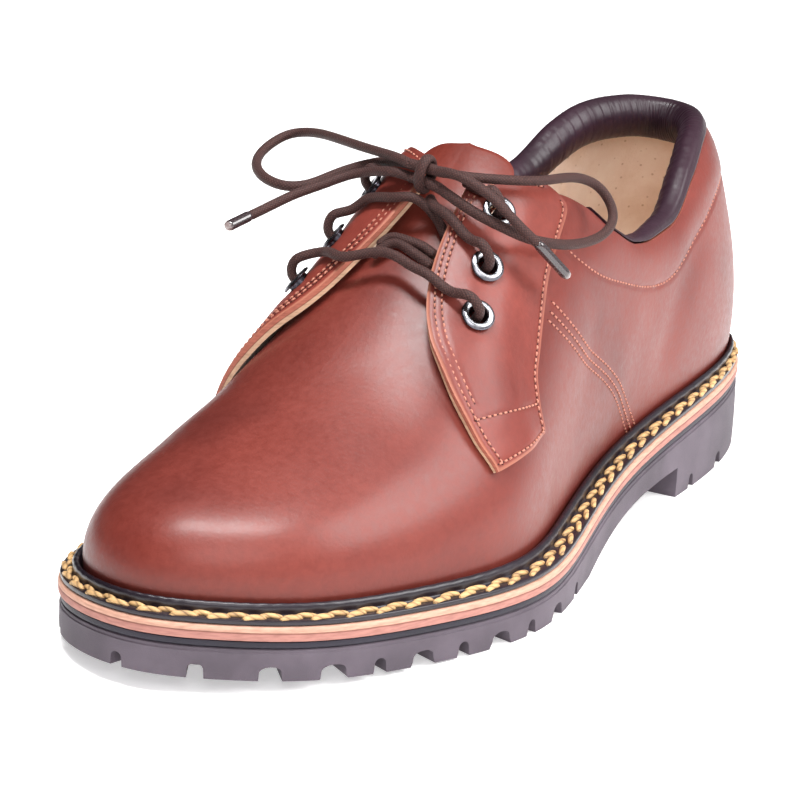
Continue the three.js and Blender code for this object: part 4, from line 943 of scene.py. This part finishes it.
def seamLine(rows, count=90, side=1):
    # a seam's rows (s, t) as evenly spaced (s, t) pairs on either side of the shoe
    rows = np.asarray(rows, float)
    run = np.r_[0, np.cumsum(np.hypot(np.diff(rows[:, 0]) * 30, np.diff(rows[:, 1]) * 90))]
    places = openSpline(run, rows)(np.linspace(0, run[-1], count))
    return (places[:, 0] if side > 0 else around - places[:, 0]), places[:, 1]


collarT = steadyCurve(*np.array(seams["collar"]).T)
quarterS = steadyCurve(*np.array(seams["quarter"])[::-1, ::-1].T)


upper = dict(
    around=560, up=84, inThroat=34, leather=1.3, liningAround=360, liningUp=34, liningInThroat=12,
    padLift=0.95, lapLift=0.4, seamWidth=0.9, seamSink=0.42, ridgeWidth=9.0, footShade=0.45, innerShade=0.55,
)


def combEase(s, t, wide=upper["ridgeWidth"]):
    # sinks the ridge where the ribs of both sides meet: slope (hypot(d, wide) - d), d the distance from the comb
    slope = rib["drop"](s) * instep / (rib["reach"](s) * halfWidth)
    away = 3 * rib["reach"](s) * halfWidth * (1 - t)
    return slope * (np.hypot(away, wide) - away)


def relief(s, t):
    # height of the upper's grain side over the last: padded collar, sunk seams, a lap at the quarter, soft creases
    points = lastPoint(s, t)
    folded = np.minimum(np.mod(s, around), around - np.mod(s, around))
    top = topShare(s)
    under = collarT(np.minimum(folded, 4.62))
    inPad = np.clip((t - under) / np.maximum(top - under, 0.02), 0, 1)
    high = upper["padLift"] * np.sin(np.pi * inPad) ** 0.8 * (1 - smoothstep(folded, 3.9, 4.5))
    lap = smoothstep(quarterS(np.clip(t, .02, .5)) - folded, -0.012, 0.012) * (1 - smoothstep(t, .50, .56))
    high = high + upper["lapLift"] * lap
    lines = [(skin(*seamLine(seams["collar"], 160, side)), upper["seamWidth"], -upper["seamSink"]) for side in (1, -1)]
    lines += [(skin(*seamLine(line, 24)), width, size) for line, width, size in creases]
    for line, width, size in lines:
        high = high + size * np.exp(-(distanceTo(points, line) / width) ** 2)
    foot = np.exp(-(t / 0.03) ** 2)
    return high * (1 - foot) - combEase(s, t)


def upperRows(count, inThroat):
    # rows round the shoe, closer together at the throat
    even, throat = np.linspace(0, around, count + 1), np.linspace(5.6, 6.02, inThroat)
    return np.unique(np.round(np.concatenate([even, throat, around - throat]), 5))[:, None]


def makeUpper():
    # leather shell between the relief and a smooth back, from the welt to the topline and the throat
    s = upperRows(upper["around"], upper["inThroat"])
    t = topShare(s) * np.linspace(0, 1, upper["up"] + 1)[None]
    s = np.broadcast_to(s, t.shape)
    outer, inner = skin(s, t, relief(s, t)), skin(s, t, -upper["leather"])[:, ::4]
    edge = np.stack([outer[:, 0], inner[:, 0]], 1), np.stack([inner[:, -1], outer[:, -1]], 1)
    # painted shade in the shade attribute: darker at the foot by the welt and on the inner side of the toe towards the
    # sole
    inside = smoothstep(s, 10.2, 12.2) * (1 - smoothstep(s, 14.5, 17))
    foot = np.exp(-(t / 0.035) ** 2)
    shade = np.clip(upper["footShade"] * foot + upper["innerShade"] * inside * (1 - t) ** 0.8, 0, 1)
    shades = [shade, *(np.zeros(g.shape[:2]) for g in (inner, *edge))]
    ends = np.tile([0.0, 1.0], (len(outer), 1))
    depth = [np.zeros(outer.shape[:2]), np.ones(inner.shape[:2]), ends, ends[:, ::-1]]
    return addPiece("upperShell", [outer, inner[::-1], *edge], [upperLeather, lining, plainEdge], "upper_leather",
                    ("upper",), picks=[0, 1, 2, 2], values=dict(shade=shades, depth=depth), sharp=55)


def makeLining():
    # soft inner face of the upper, a little proud over the sole's edge
    s = upperRows(upper["liningAround"], upper["liningInThroat"])
    t = topShare(s) * (0.012 + 0.982 * np.linspace(0, 1, upper["liningUp"] + 1)[None])
    s = np.broadcast_to(s, t.shape)
    wave = 0.12 * np.sin(s * 9.0) * np.sin(t * 21.0)
    grids = sheetGrids(skin(s, t, -upper["leather"] - 0.05), skin(s, t, -last["upperWall"] + wave), True)
    return addPiece("upperLining", grids, [lining], "insole_leather", sharp=60)


makeUpper()
makeLining()
print("upper ready")

collarRoll = dict(
    height=5.4, depth=8.6, width=9.2, fullUntil=2.4, endAt=4.15, endScale=0.3, root=0.66, around=56, along=420,
    gathers=[(0.09, 47, 0), (0.07, 79, 1.3), (0.06, 113, 0.4)], gatherAt=0.42, gatherWidth=0.16,  # size, rate, start
)


def makeCollar():
    # padded roll: the section's points follow the CAD collar, joined by a smooth closed line and gathered inside
    gap = last["upperWall"] + 2 * clearance
    height, depth, width, end, root = (collarRoll[key] for key in ("height", "depth", "width", "endAt", "root"))
    share = 0.03
    s = np.linspace(-end + 0.02, end - 0.02, collarRoll["along"])
    scale = 1 + (collarRoll["endScale"] - 1) * smoothstep(np.abs(s), collarRoll["fullUntil"], end)
    t = topShare(s)
    base = skin(s, t)
    below = base - skin(s, t - share)
    upward, outward = unit(below), lastNormal(s, t)
    lift = lambda up: np.where(abs(up) > root, np.sign(up) * np.maximum(abs(up) * scale, 0.5), up)
    rows = []
    for out, up in ((-0.1, root), (0.3, 0.4 * height), (-0.3, 0.8 * height), (-0.3 * width, 1.06 * height),
                    (-0.6 * width, 0.96 * height), (-0.92 * width, 0.45 * height), (-width, -0.25 * depth),
                    (-0.85 * width, -0.75 * depth), (-0.55 * width, -depth)):
        reach = np.where(out < -gap, -gap + (out + gap) * scale, out)
        rows.append(base + outward * reach[:, None] + upward * lift(up)[:, None])
    for up in (-0.9 * depth, -0.45 * depth):
        rows.append(skin(s, t + lift(up) * share / np.linalg.norm(below, axis=1), -gap))
    rows.append(base - outward * gap + upward * root)
    section = np.stack(rows)
    count = len(section)
    fine = onceRound(collarRoll["around"], count)
    closed = np.concatenate([section[-3:], section, section[:4]]).reshape(count + 7, -1)
    grid = openSpline(np.arange(-3, count + 4), closed)(fine).reshape(len(fine), len(s), 3).transpose(1, 0, 2)
    gather = sum(size * np.sin(s * rate + start) for size, rate, start in collarRoll["gathers"])
    inside = np.exp(-((fine / count - collarRoll["gatherAt"]) / collarRoll["gatherWidth"]) ** 2)
    swell = (gather * scale)[:, None] * inside[None]
    grid = grid + unit(grid - section.mean(0)[:, None]) * swell[..., None]
    tips = [np.repeat(ring.mean(1, keepdims=True), len(fine), 1) for ring in (grid[:1], grid[-1:])]
    piece = makeBody("collarRoll", [np.concatenate([tips[0], grid, tips[1]])], [collarLeather], sharp=70)
    return settle(piece, "collar_leather", "collar")


tongueSizes = dict(
    thickness=2.2, sunk=0.3, topShare=0.497, sideBack=5.0, cornerDrop=0.35, up=90, across=80,
    fullness=0.35, ripple=0.12, edgeThinning=0.9, ridgeWidth=18.0,
)


def makeTongue():
    # sheet on the comb from under the vamp's point to its round top, its edge thinned, its middle a little full
    combToS = steadyCurve([rib["endAlong"](np.array(float(k))) * soleLength for k in (4, 5, 6)], [4, 5, 6])
    topAlong = tongueSizes["topShare"] * soleLength
    middleTop, sideTop = combToS(topAlong), combToS(topAlong - tongueSizes["sideBack"])
    f = np.linspace(0, 1, tongueSizes["up"] + 1)[:, None]
    x = np.linspace(-1, 1, tongueSizes["across"] + 1)[None]
    side = np.abs(x)
    root = throatEnd - 0.04 - 0.1 * side
    top = middleTop + (sideTop - middleTop) * smoothstep(side, 0, 0.75) + tongueSizes["cornerDrop"] * side ** 8
    s = root + (top - root) * f
    edge = topShare(s) + 0.02
    t = 1 - (1 - edge) * side
    placed = np.where(x < 0, around - s, s)
    full = tongueSizes["fullness"] * (1 - side ** 2) * f + tongueSizes["ripple"] * np.sin(7 * f + 2 * x) * (1 - side)
    thin = tongueSizes["edgeThinning"] * np.maximum(smoothstep(side, 0.93, 1.0), smoothstep(f, 0.965, 1.0))
    full = full - tongueSizes["sunk"] - combEase(placed, t, tongueSizes["ridgeWidth"])
    outer = skin(placed, t, full - 0.5 * thin)
    inner = skin(placed, t, full - tongueSizes["thickness"] + 0.5 * thin)
    depth = sheetGrids(np.zeros((*t.shape, 1)), np.ones((*t.shape, 1)))
    return addPiece("tongueSheet", sheetGrids(outer, inner), [tongueLeather, lining, plainEdge], "upper_leather",
                    ("tongue",), picks=[0, 1, 2, 2, 2, 2], values=dict(depth=depth), sharp=50)


makeCollar()
makeTongue()
# slightly cupped sheet on the deck, its edge turned up against the lining
soleBody("insoleSheet", insoleLeather, "insole_leather", "insole", lambda u: deckHeight(u) + clearance,
         sole["insoleRows"], lambda s: shelfWidth(s) + last["upperWall"] + 2 * clearance)
print("collar, tongue and insole ready")


# facings

facing = dict(
    thickness=2.4, rearThickness=1.1, standOff=2.6, under=0.8, hole=3.6, height=78.0, down=150, back=84,
    wave=0.45, rimRound=0.35, eyeletSink=0.25, eyeletReach=6.4, grooveSink=0.16, grooveWidth=0.7,
    rows=[  # down, frontS, outerT, innerT, rearS, rearT
        (.00, 5.28, .900, .985, 4.58, .735), (.12, 5.58, .888, .978, 4.46, .660), (.24, 5.83, .872, .945, 4.66, .615),
        (.37, 6.08, .838, .880, 4.90, .575), (.50, 6.28, .775, .810, 5.08, .525), (.62, 6.38, .690, .730, 5.24, .475),
        (.74, 6.40, .590, .620, 5.38, .425), (.87, 6.34, .440, .460, 5.42, .360), (1.0, 6.20, .310, .320, 5.40, .300)],
    eyelets=[(5.20, .790), (5.56, .733), (5.88, .670)],
)
facingRows = np.array(facing["rows"])
frontS, outerT, innerT, rearS, rearT = (steadyCurve(facingRows[:, 0], facingRows[:, k]) for k in range(1, 6))


def facingPlace(side, down, back):
    front = outerT(down) if side == "lateral" else innerT(down)
    s = frontS(down) + (rearS(down) - frontS(down)) * back
    return (s if side == "lateral" else around - s), front + (rearT(down) - front) * back


def facingLift(down, back):
    free = 1 - smoothstep(down, 0.6, 0.97)
    front = 1 - smoothstep(back, 0.3, 0.85)
    return clearance + facing["standOff"] * front * np.maximum(free, 0.06)


def facingPoint(side, down, back, lift):
    s, t = facingPlace(side, down, back)
    return skin(s, t, facingLift(down, back) + lift)


def eyeletFrame(side, row):
    # centre and outward normal of an eyelet, its place on the facing found by Newton steps
    wanted = np.array(row)
    place = np.array([0.3, 0.4])
    step, h = 1e-4, 0.02

    def miss(p):
        s, t = facingPlace(side, *p)
        return np.array([s if side == "lateral" else around - s, t]) - wanted
    for _ in range(12):
        base = miss(place)
        slope = np.stack([(miss(place + way) - base) / step for way in ([step, 0], [0, step])], 1)
        place = np.clip(place - np.linalg.solve(slope, base), 0, 1)
    down, back = place
    top = lambda d, b: facingPoint(side, d, b, facing["thickness"])
    along, across = top(down + h, back) - top(down - h, back), top(down, back + h) - top(down, back - h)
    return top(down, back), unit(np.cross(along, across)) * (1 if side == "lateral" else -1)


eyeletFrames = {(side, k): eyeletFrame(side, row)
                for side in ("lateral", "medial") for k, row in enumerate(facing["eyelets"])}


def facingTop(down, back):
    # height of the facing's grain side over its own underside: thinner to the rear, round at the rim
    thick = facing["thickness"] + (facing["rearThickness"] - facing["thickness"]) * smoothstep(back, 0.55, 0.95)
    rim = np.exp(-(back / 0.018) ** 2) + np.exp(-((1 - down) / 0.012) ** 2) + 0.8 * np.exp(-(down / 0.012) ** 2)
    return thick - facing["rimRound"] * rim


def makeFacing(side):
    # leather flap with its cut edge showing in front; round holes where the eyelets sit
    down = np.linspace(0, 1, facing["down"] + 1)[:, None]
    back = (np.linspace(0, 1, facing["back"] + 1)[None]) ** 1.12
    down, back = np.broadcast_arrays(down, back)
    wave = facing["wave"] * np.sin(down * 8.5 + (0.6 if side == "medial" else 2.0))
    wave = wave * (1 - smoothstep(back, 0.0, 0.5)) * (1 - smoothstep(down, 0.6, 0.9))
    outer = facingPoint(side, down, back, facingTop(down, back) + wave)
    under = -np.minimum(facing["under"], 0.55 * (facingLift(down, back) - 0.12)) * (1 - smoothstep(back, 0.1, 0.6))
    inner = facingPoint(side, down, back, under + wave)
    for k in range(3):
        centre, normal = eyeletFrames[side, k]
        near = np.exp(-(np.linalg.norm(outer - centre, axis=-1) / facing["eyeletReach"]) ** 4)
        outer = outer - normal * (facing["eyeletSink"] * near)[..., None]
    lines = [facingPath(side, *row)[0][::3] for row in facingSeams]
    groove = sum(np.exp(-(distanceTo(outer, line) / facing["grooveWidth"]) ** 2) for line in lines)
    outer = outer - lastNormal(*facingPlace(side, down, back)) * (facing["grooveSink"] * groove)[..., None]
    zero = np.zeros((*down.shape, 1))
    # painted shade along the facing's top edge, in the shade attribute
    shade = sheetGrids(0.25 * np.exp(-(down[..., None] / 0.05) ** 2), zero)
    pale = np.maximum(np.exp(-(back / 0.020) ** 4), 0.8 * np.exp(-((1 - down) / 0.010) ** 4))
    pale = np.maximum(pale, 0.55 * np.exp(-((1 - back) / 0.018) ** 4) * smoothstep(down, 0.05, 0.2))[..., None]
    values = dict(depth=sheetGrids(zero, zero + 1), shade=shade, rim=sheetGrids(pale, zero))
    materials = [facingLeather, lining, rawEdge, plainEdge]
    piece = addPiece(f"facing{side.capitalize()}", sheetGrids(outer, inner), materials, "facing_leather",
                     (f"facing_{side}",), picks=[0, 1, 2, 3, 2, 2], values=values, sharp=48)
    for k in range(3):
        centre, normal = eyeletFrames[side, k]
        across = unit(np.cross(normal, [0.0, 0.0, 1.0]))
        circle = facing["hole"] * np.stack([np.cos(onceRound(32)), np.sin(onceRound(32))], 1)[:-1]
        cutter = prism("cutRound", circle, 9.0, centre, across, np.cross(normal, across), normal, facingLeather)
        carve(piece, object=cutter)
        bpy.data.objects.remove(cutter)
    return piece


facingSeams = [  # kind, inset in millimetres, from and to
    ("front", 2.3, 0.035, 0.985), ("front", 4.3, 0.05, 0.80), ("rear", 1.5, 0.10, 0.985), ("bottom", 1.6, 0.03, 0.97),
    ("cross", 0.84, 0.06, 0.95), ("top", 2.0, 0.12, 0.9),
]


def facingPath(side, kind, inset, start, stop, count=160):
    # a stitch line on the facing at an inset from one of its edges, or across it, with its outward normals
    f = np.linspace(start, stop, count)
    reach = np.linalg.norm(facingPoint(side, f, 0.15, 1.0) - facingPoint(side, f, 0.0, 1.0), axis=-1) / 0.15
    high = inset / facing["height"]
    places = dict(
        front=(f, inset / reach), rear=(f, 1 - inset / reach), bottom=(1 - high, f), top=(high, f), cross=(inset, f))
    down, back = np.broadcast_arrays(*places[kind])
    return facingPoint(side, down, back, facingTop(down, back)), lastNormal(*facingPlace(side, down, back))


for side in ("lateral", "medial"):
    makeFacing(side)
print("facings ready")


# seams of thread

thread = dict(pitch=1.95, length=1.4, radius=0.31, sunk=0.08, arch=0.14, holeRadius=0.22)


def threadRow(points, normals):
    # stitches and the needle holes between them along a line
    run = runOf(points)
    count = max(2, int(run[-1] / thread["pitch"]))
    at, between = (np.arange(count) + 0.5) * run[-1] / count, np.arange(count + 1) * run[-1] / count
    pick = lambda want, rows=points: np.stack([np.interp(want, run, rows[:, i]) for i in range(3)], -1)
    half = thread["length"] / 2
    grid, uv = bundle(pick(at - half), pick(at + half), unit(pick(at, normals)), thread["radius"], thread["sunk"],
                      thread["arch"])
    normal = unit(pick(between, normals))
    side = unit(np.cross(normal, pick(np.minimum(between + 0.5, run[-1])) - pick(np.maximum(between - 0.5, 0))))
    ring = ringOf(side, np.cross(normal, side), 8) * thread["holeRadius"]
    layers = [(0.0, -0.25), (1.0, -0.25), (1.0, 0.05), (0.0, 0.05)]
    return grid, uv, np.stack([pick(between)[:, None] + ring * r + normal[:, None] * h for r, h in layers], 1)


def makeSeams(name, lines, slot):
    stitches, uvs, holes = zip(*(threadRow(*line) for line in lines))
    return addPiece(name, [*stitches, *holes], [seamThread, pinhole], slot, picks=[0] * len(lines) + [1] * len(lines),
                    uvs=[*uvs, *(np.zeros((*hole.shape[:3], 2)) for hole in holes)], sharp=80)


def upperLine(rows, side, shift=0.0):
    # a seam of the upper, moved sideways by shift millimetres towards the heel
    s, t = seamLine(rows, 240, side)
    moved = shift * unit(np.cross(lastNormal(s, t), np.gradient(skin(s, t), axis=0)))
    step = 0.02
    ahead = (lastPoint(s + step, t) - lastPoint(s - step, t)) / (2 * step)
    above = (lastPoint(s, t + step) - lastPoint(s, t - step)) / (2 * step)
    s, t = (place + (moved * way).sum(-1) / (way * way).sum(-1) for place, way in ((s, ahead), (t, above)))
    return skin(s, t, relief(s, t)), lastNormal(s, t)


for side, way in (("lateral", 1), ("medial", -1)):
    lines = [facingPath(side, *row) for row in facingSeams]
    makeSeams(f"facingStitches{side.capitalize()}", lines, "facing_leather")
    quarter = [upperLine(seams["quarter"], way, shift * way) for shift in (-0.9, 0.8, 3.0)]
    heel = upperLine([(0.11, .02), (0.11, .25), (0.12, .50)], way)
    makeSeams(f"quarterStitches{side.capitalize()}", [*quarter, heel], "upper_leather")
makeSeams("collarStitches", [upperLine(seams["collar"], way) for way in (1, -1)], "upper_leather")
print("seams ready")


# eyelets

eyelet = dict(
    seat=0.55, sides=48,
    profile=[(2.65, -2.6), (3.2, -2.6), (3.2, 0.2), (4.5, 0.2), (4.75, 0.35), (4.8, 0.55), (4.6, 0.8), (4.1, 1.08),
             (3.6, 1.2), (3.15, 1.12), (2.8, 0.8), (2.65, 0.2), (2.65, -2.6)],
    # rim for each profile point: 0 on the ring's top for a painted highlight, 1 on the turned-down sides for painted
    # shade
    rim=[1.0, 1.0, 1.0, 1.0, 1.0, 1.0, 0.75, 0.3, 0.0, 0.0, 0.2, 1.0, 1.0],
)


def makeEyelet(side, k):
    # rolled ring turned about the facing's normal
    centre, normal = eyeletFrames[side, k]
    across = unit(np.cross(normal, [0.0, 0.0, 1.0]))
    count = len(eyelet["profile"])
    fine = np.linspace(0, count - 1, 49)
    out, up, rim = (np.interp(fine, np.arange(count), row) for row in (*zip(*eyelet["profile"]), eyelet["rim"]))
    ring = ringOf(across, np.cross(normal, across), eyelet["sides"])
    grid = centre + out[:, None, None] * ring[None] + (up + eyelet["seat"] - 0.3)[:, None, None] * normal
    values = dict(rim=[np.repeat(rim[:, None], len(ring), 1)])
    return addPiece(f"eyelet{side.capitalize()}{k + 1}", [grid], [eyeletMetal], "eyelet_metal",
                    (f"eyelet_{side}_{k + 1}",), values=values, sharp=50)


for side in ("lateral", "medial"):
    for k in range(3):
        makeEyelet(side, k)
print("eyelets ready")


# laces

lace = dict(diameter=3.0, sides=18, spacing=0.9, flat=0.92, seat=0.8, flange=1.3, flangeRadius=5.4)
laceRadius = lace["diameter"] / 2
overTongue = clearance + laceRadius
overFacing = clearance + facing["standOff"] + facing["thickness"] + clearance + laceRadius
strands = dict(
    bar=[(14.15, .763, 1.02), (13.98, .830, 1.05), (13.85, .888, 1.00), (13.76, 1.0, .80), (6.14, .900, .95),
         (6.07, .835, 1.05), (6.00, .763, 1.02)],
    lowerA=[(14.02, .935, .05), (14.05, .960, .05), (6.00, .988, .05), (5.92, .930, .05), (5.88, .885, .02)],
    lowerB=[(13.92, .932, .05), (13.96, .985, .05), (6.03, .960, .05), (5.99, .910, .05), (5.96, .875, .05)],
    upperMedial=[(14.52, .795, 1.05), (14.52, .840, 1.03), (14.45, .890, 1.02), (14.33, .955, 1.12), (14.29, 1.0, .90),
                 (5.66, .950, .14), (5.67, .912, .02), (5.69, .886, -.12)],
    upperLateral=[(5.58, .800, 1.15), (5.60, .840, 1.03), (5.61, .893, 1.04), (5.63, .940, .75), (5.60, .975, .45)],
    riseLateral=[(5.22, .845, 1.03), (5.30, .900, 1.03)],
    riseMedial=[(14.79, .845, 1.03)],
)


def strandPoints(rows):
    rows = np.array(rows, float)
    return skin(rows[:, 0], rows[:, 1], overTongue + (overFacing - overTongue) * rows[:, 2])


def eyeletExit(side, k, toward):
    # up through the hole and over the flange, towards a point
    centre, normal = eyeletFrames[side, k]
    away = toward - centre
    away = unit(away - normal * (away @ normal))
    top = lace["seat"] + lace["flange"] + 3 * clearance + laceRadius
    place = lambda up, out: centre + normal * up + away * out
    over = lace["flangeRadius"]
    return np.array([
        place(-4.2, -0.3), place(-1.5, -0.2), place(0.55 * top, 0.2), place(top, 0.5 * over), place(top, over)])


def laceTube(name, path, material, radius=laceRadius, slot="lace_cord", nodes=(), values=None):
    grid, uv = tubeGrid(path, radius, lace["sides"], lace["flat"])
    even = lambda count: np.linspace(0, 1, count)
    extra = {key: [np.repeat(np.interp(even(len(grid)), even(len(v)), v)[:, None], grid.shape[1], 1)]
             for key, v in (values or {}).items()}
    return addPiece(name, [grid], [material], slot, nodes, uvs=[uv], values=extra, sharp=80)


def makeStrands():
    def strand(name, node, *parts):
        laceTube(name, flow(np.concatenate(parts), lace["spacing"]), laceBraid, nodes=(node,))
    bar = strandPoints(strands["bar"])
    strand("laceBar", "lace_bar", eyeletExit("medial", 2, bar[0]), bar, eyeletExit("lateral", 2, bar[-1])[::-1])
    for key in ("A", "B"):
        strand("laceLower" + key, "lace_cross_lower", strandPoints(strands["lower" + key]))
    for side in ("medial", "lateral"):
        for kind, k, node in (("upper", 1, "lace_cross_upper"), ("rise", 0, f"lace_rise_{side}")):
            rows = strandPoints(strands[kind + side.capitalize()])
            strand("lace" + kind.capitalize() + side.capitalize(), node, eyeletExit(side, k, rows[0]), rows)


makeStrands()

bow = dict(
    knotCentre=(-0.3, -22.7, 112.9),
    loopMedial=[(-5.2, -23.0, 115.2), (-10.0, -21.4, 115.8), (-16.0, -18.4, 115.6), (-25.9, -14.1, 115.2),
                (-39.4, -7.0, 114.5), (-53.3, 0.2, 113.0), (-60.4, -0.4, 111.5), (-62.6, -6.5, 109.5),
                (-61.6, -14.3, 107.5), (-56.1, -23.1, 106.0), (-48.4, -28.6, 105.0), (-41.8, -29.2, 104.5),
                (-37.1, -25.7, 105.0), (-33.9, -18.8, 106.6), (-29.4, -13.8, 108.7), (-22.3, -12.6, 111.1),
                (-15.2, -15.4, 113.0), (-9.6, -18.1, 113.9), (-5.4, -19.5, 113.9)],
    endMedial=[(-5.3, -22.3, 111.2), (-9.3, -22.6, 111.9), (-12.9, -22.6, 111.9), (-18.9, -21.3, 110.6),
               (-25.3, -22.4, 108.9), (-30.6, -28.0, 106.5), (-35.8, -34.2, 104.0), (-39.4, -41.0, 101.5),
               (-42.0, -47.2, 99.5)],
    agletMedial=[(-42.2, -47.6, 99.4), (-44.6, -54.6, 97.4)],
    loopLateral=[(4.7, -20.6, 113.7), (11.4, -20.5, 113.6), (19.0, -14.6, 112.8), (25.7, -4.6, 111.6),
                 (28.6, 5.8, 110.9), (30.3, 13.9, 109.0), (32.8, 18.6, 105.7), (35.9, 19.6, 100.9),
                 (37.9, 16.5, 97.1), (38.0, 11.0, 94.8), (37.0, 5.0, 94.0), (35.4, -4.1, 94.7),
                 (32.8, -12.8, 96.7), (29.9, -20.0, 99.4), (25.3, -24.3, 102.4), (19.0, -26.6, 105.3),
                 (11.2, -26.0, 108.2), (5.0, -23.9, 109.9)],
    endLateral=[(4.3, -24.1, 114.7), (10.5, -25.9, 115.2), (17.0, -26.4, 113.7), (23.6, -25.8, 110.1),
                (30.4, -24.4, 103.9), (34.8, -21.4, 98.9)],
    agletLateral=[(35.2, -21.0, 98.3), (39.8, -12.4, 88.4)],
    agletDiameter=3.4, wrapShift=(0.0, -0.2, 0.1), wrapSize=(0.7, -3.3, 4.6), wrapCord=(1.1, 1.65), wrapLength=25,
)


def makeAglet(side):
    # clear sleeve over the cord's end with a short pale tip
    path = steps(bow["aglet" + side], 24)
    radius = np.full(24, bow["agletDiameter"] / 2) * np.r_[np.linspace(0.9, 1, 3), np.ones(18), np.linspace(1, 0.86, 3)]
    tip = np.r_[np.zeros(20), 0.3, 0.8, 1.0, 1.0]
    return laceTube(f"aglet{side}", path, agletPlastic, radius=radius, slot="aglet_plastic",
                    nodes=(f"lace_aglet_{side.lower()}",), values=dict(tip=tip))


def makeCord(key, node, extra=()):
    # a loop or free end of the bow
    path = flow(bow[key], lace["spacing"])
    piece = laceTube("lace" + key[0].upper() + key[1:], path, laceBraid, nodes=(node,))
    return piece


agletMedial, agletLateral = makeAglet("Medial"), makeAglet("Lateral")


def makeKnot():
    # the strands run on through the middle and one turn, an ellipse of flattened cord, is wrapped round them
    centre = np.array(bow["knotCentre"])
    through = [
        [bow["loopMedial"][0], (-1.6, -22.9, 115.0), (1.6, -23.3, 114.9), bow["endLateral"][0]],
        [bow["loopMedial"][-1], (-1.6, -20.4, 113.9), (1.6, -20.6, 113.8), bow["loopLateral"][0]],
        [bow["endMedial"][0], (-1.8, -23.4, 111.3), (1.8, -23.8, 110.8), bow["loopLateral"][-1]],
    ]
    grids, uvs = map(list, zip(*(tubeGrid(flow(rows, 0.7), laceRadius * 1.02, lace["sides"]) for rows in through)))
    a = onceRound(60)
    wrap = centre + bow["wrapShift"] + np.stack([np.sin(a), np.cos(a), np.sin(a)], -1) * bow["wrapSize"]
    tangent = unit(np.roll(wrap[:-1], -1, 0) - np.roll(wrap[:-1], 1, 0))
    outward = unit(wrap - centre)
    sideways = np.cross(np.vstack([tangent, tangent[:1]]), outward)
    high, wide = bow["wrapCord"]
    grids.append(wrap[:, None] + ringOf(high * outward, wide * sideways, lace["sides"]))
    places = np.linspace(0, bow["wrapLength"], len(a))[:, None], np.linspace(0, 1, lace["sides"] + 1)[None]
    uvs.append(np.stack(np.broadcast_arrays(*places), -1))
    return addPiece("laceKnot", grids, [laceBraid], "lace_cord", ("lace_knot",), uvs=uvs, sharp=80)


makeCord("loopMedial", "lace_loop_medial", (makeKnot(),))
makeCord("loopLateral", "lace_loop_lateral")
makeCord("endMedial", "lace_end_medial", (agletMedial,))
makeCord("endLateral", "lace_end_lateral", (agletLateral,))
print("laces ready")


# floor and light

stage = dict(
    floorSize=9000.0, floorGlow=0.45, darkSky=(0.03, 0.028, 0.03, 1), lightSky=(0.6, 0.59, 0.59, 1),
    lamps=[  # name, place, aim in metres, width, depth, power
        ("keyLight", (0.75, -1.1, 1.0), (0.0, -0.05, 0.05), 0.8, 0.8, 8.0),
        ("sideLight", (1.2, 0.4, 1.05), (0.0, 0.0, 0.05), 1.0, 0.8, 24.0),
        ("topLight", (0.03, -0.21, 1.22), (0.0, -0.13, 0.04), 0.8, 0.22, 20.0),
    ],
)


def makeFloor():
    # white ground with a faint glow of its own
    size = stage["floorSize"]
    corners = [[[-size, -size, 0], [-size, size, 0]], [[size, -size, 0], [size, size, 0]]]
    made = startMaterial("floorPaint", Base_Color=colour(244, 243, 242), Roughness=0.75, Specular_IOR_Level=0.2,
                         Emission_Color=(1.0, 1.0, 1.0, 1.0), Emission_Strength=stage["floorGlow"])
    patches = noise(made[1], objectPlace(made[1]), 3.0)
    paint = dress(made, ramp(made[1], patches, (0.0, colour(242, 241, 240)), (1.0, colour(247, 247, 247))))
    makeBody("floor", [np.array(corners)], [paint], closed=False)


def makeSky():
    # dim sky that brightens towards +X
    world = bpy.data.worlds.new("studio")
    world.use_nodes = True
    sky = world.node_tree
    parts = addNode(sky, "ShaderNodeSeparateXYZ", Vector=sky.nodes.new("ShaderNodeTexCoord").outputs["Generated"])
    level = addNode(sky, "ShaderNodeMapRange", i0=parts.outputs[0], i1=-1.0, i2=1.0, i3=0.0, i4=1.0).outputs[0]
    glow = ramp(sky, level, (0.2, stage["darkSky"]), (0.85, stage["lightSky"]))
    sky.links.new(glow, sky.nodes["Background"].inputs[0])
    bpy.context.scene.world = world


def makeLamp(name, place, aim, wide, deep, power):
    # rectangular lamp at place that faces aim, its width level
    data = bpy.data.lights.new(name, "AREA")
    data.shape, data.size, data.size_y, data.energy = "RECTANGLE", wide, deep, power
    lamp = bpy.data.objects.new(name, data)
    back = (Vector(place) - Vector(aim)).normalized()
    side = Vector((0, 1, 0)).cross(back).normalized()
    turn = Matrix((side, back.cross(side), back)).transposed().to_4x4()
    lamp.matrix_world = Matrix.Translation(place) @ turn
    bpy.context.scene.collection.objects.link(lamp)


makeFloor()
makeSky()
for lamp in stage["lamps"]:
    makeLamp(*lamp)
bpy.context.scene.view_settings.view_transform = "Standard"
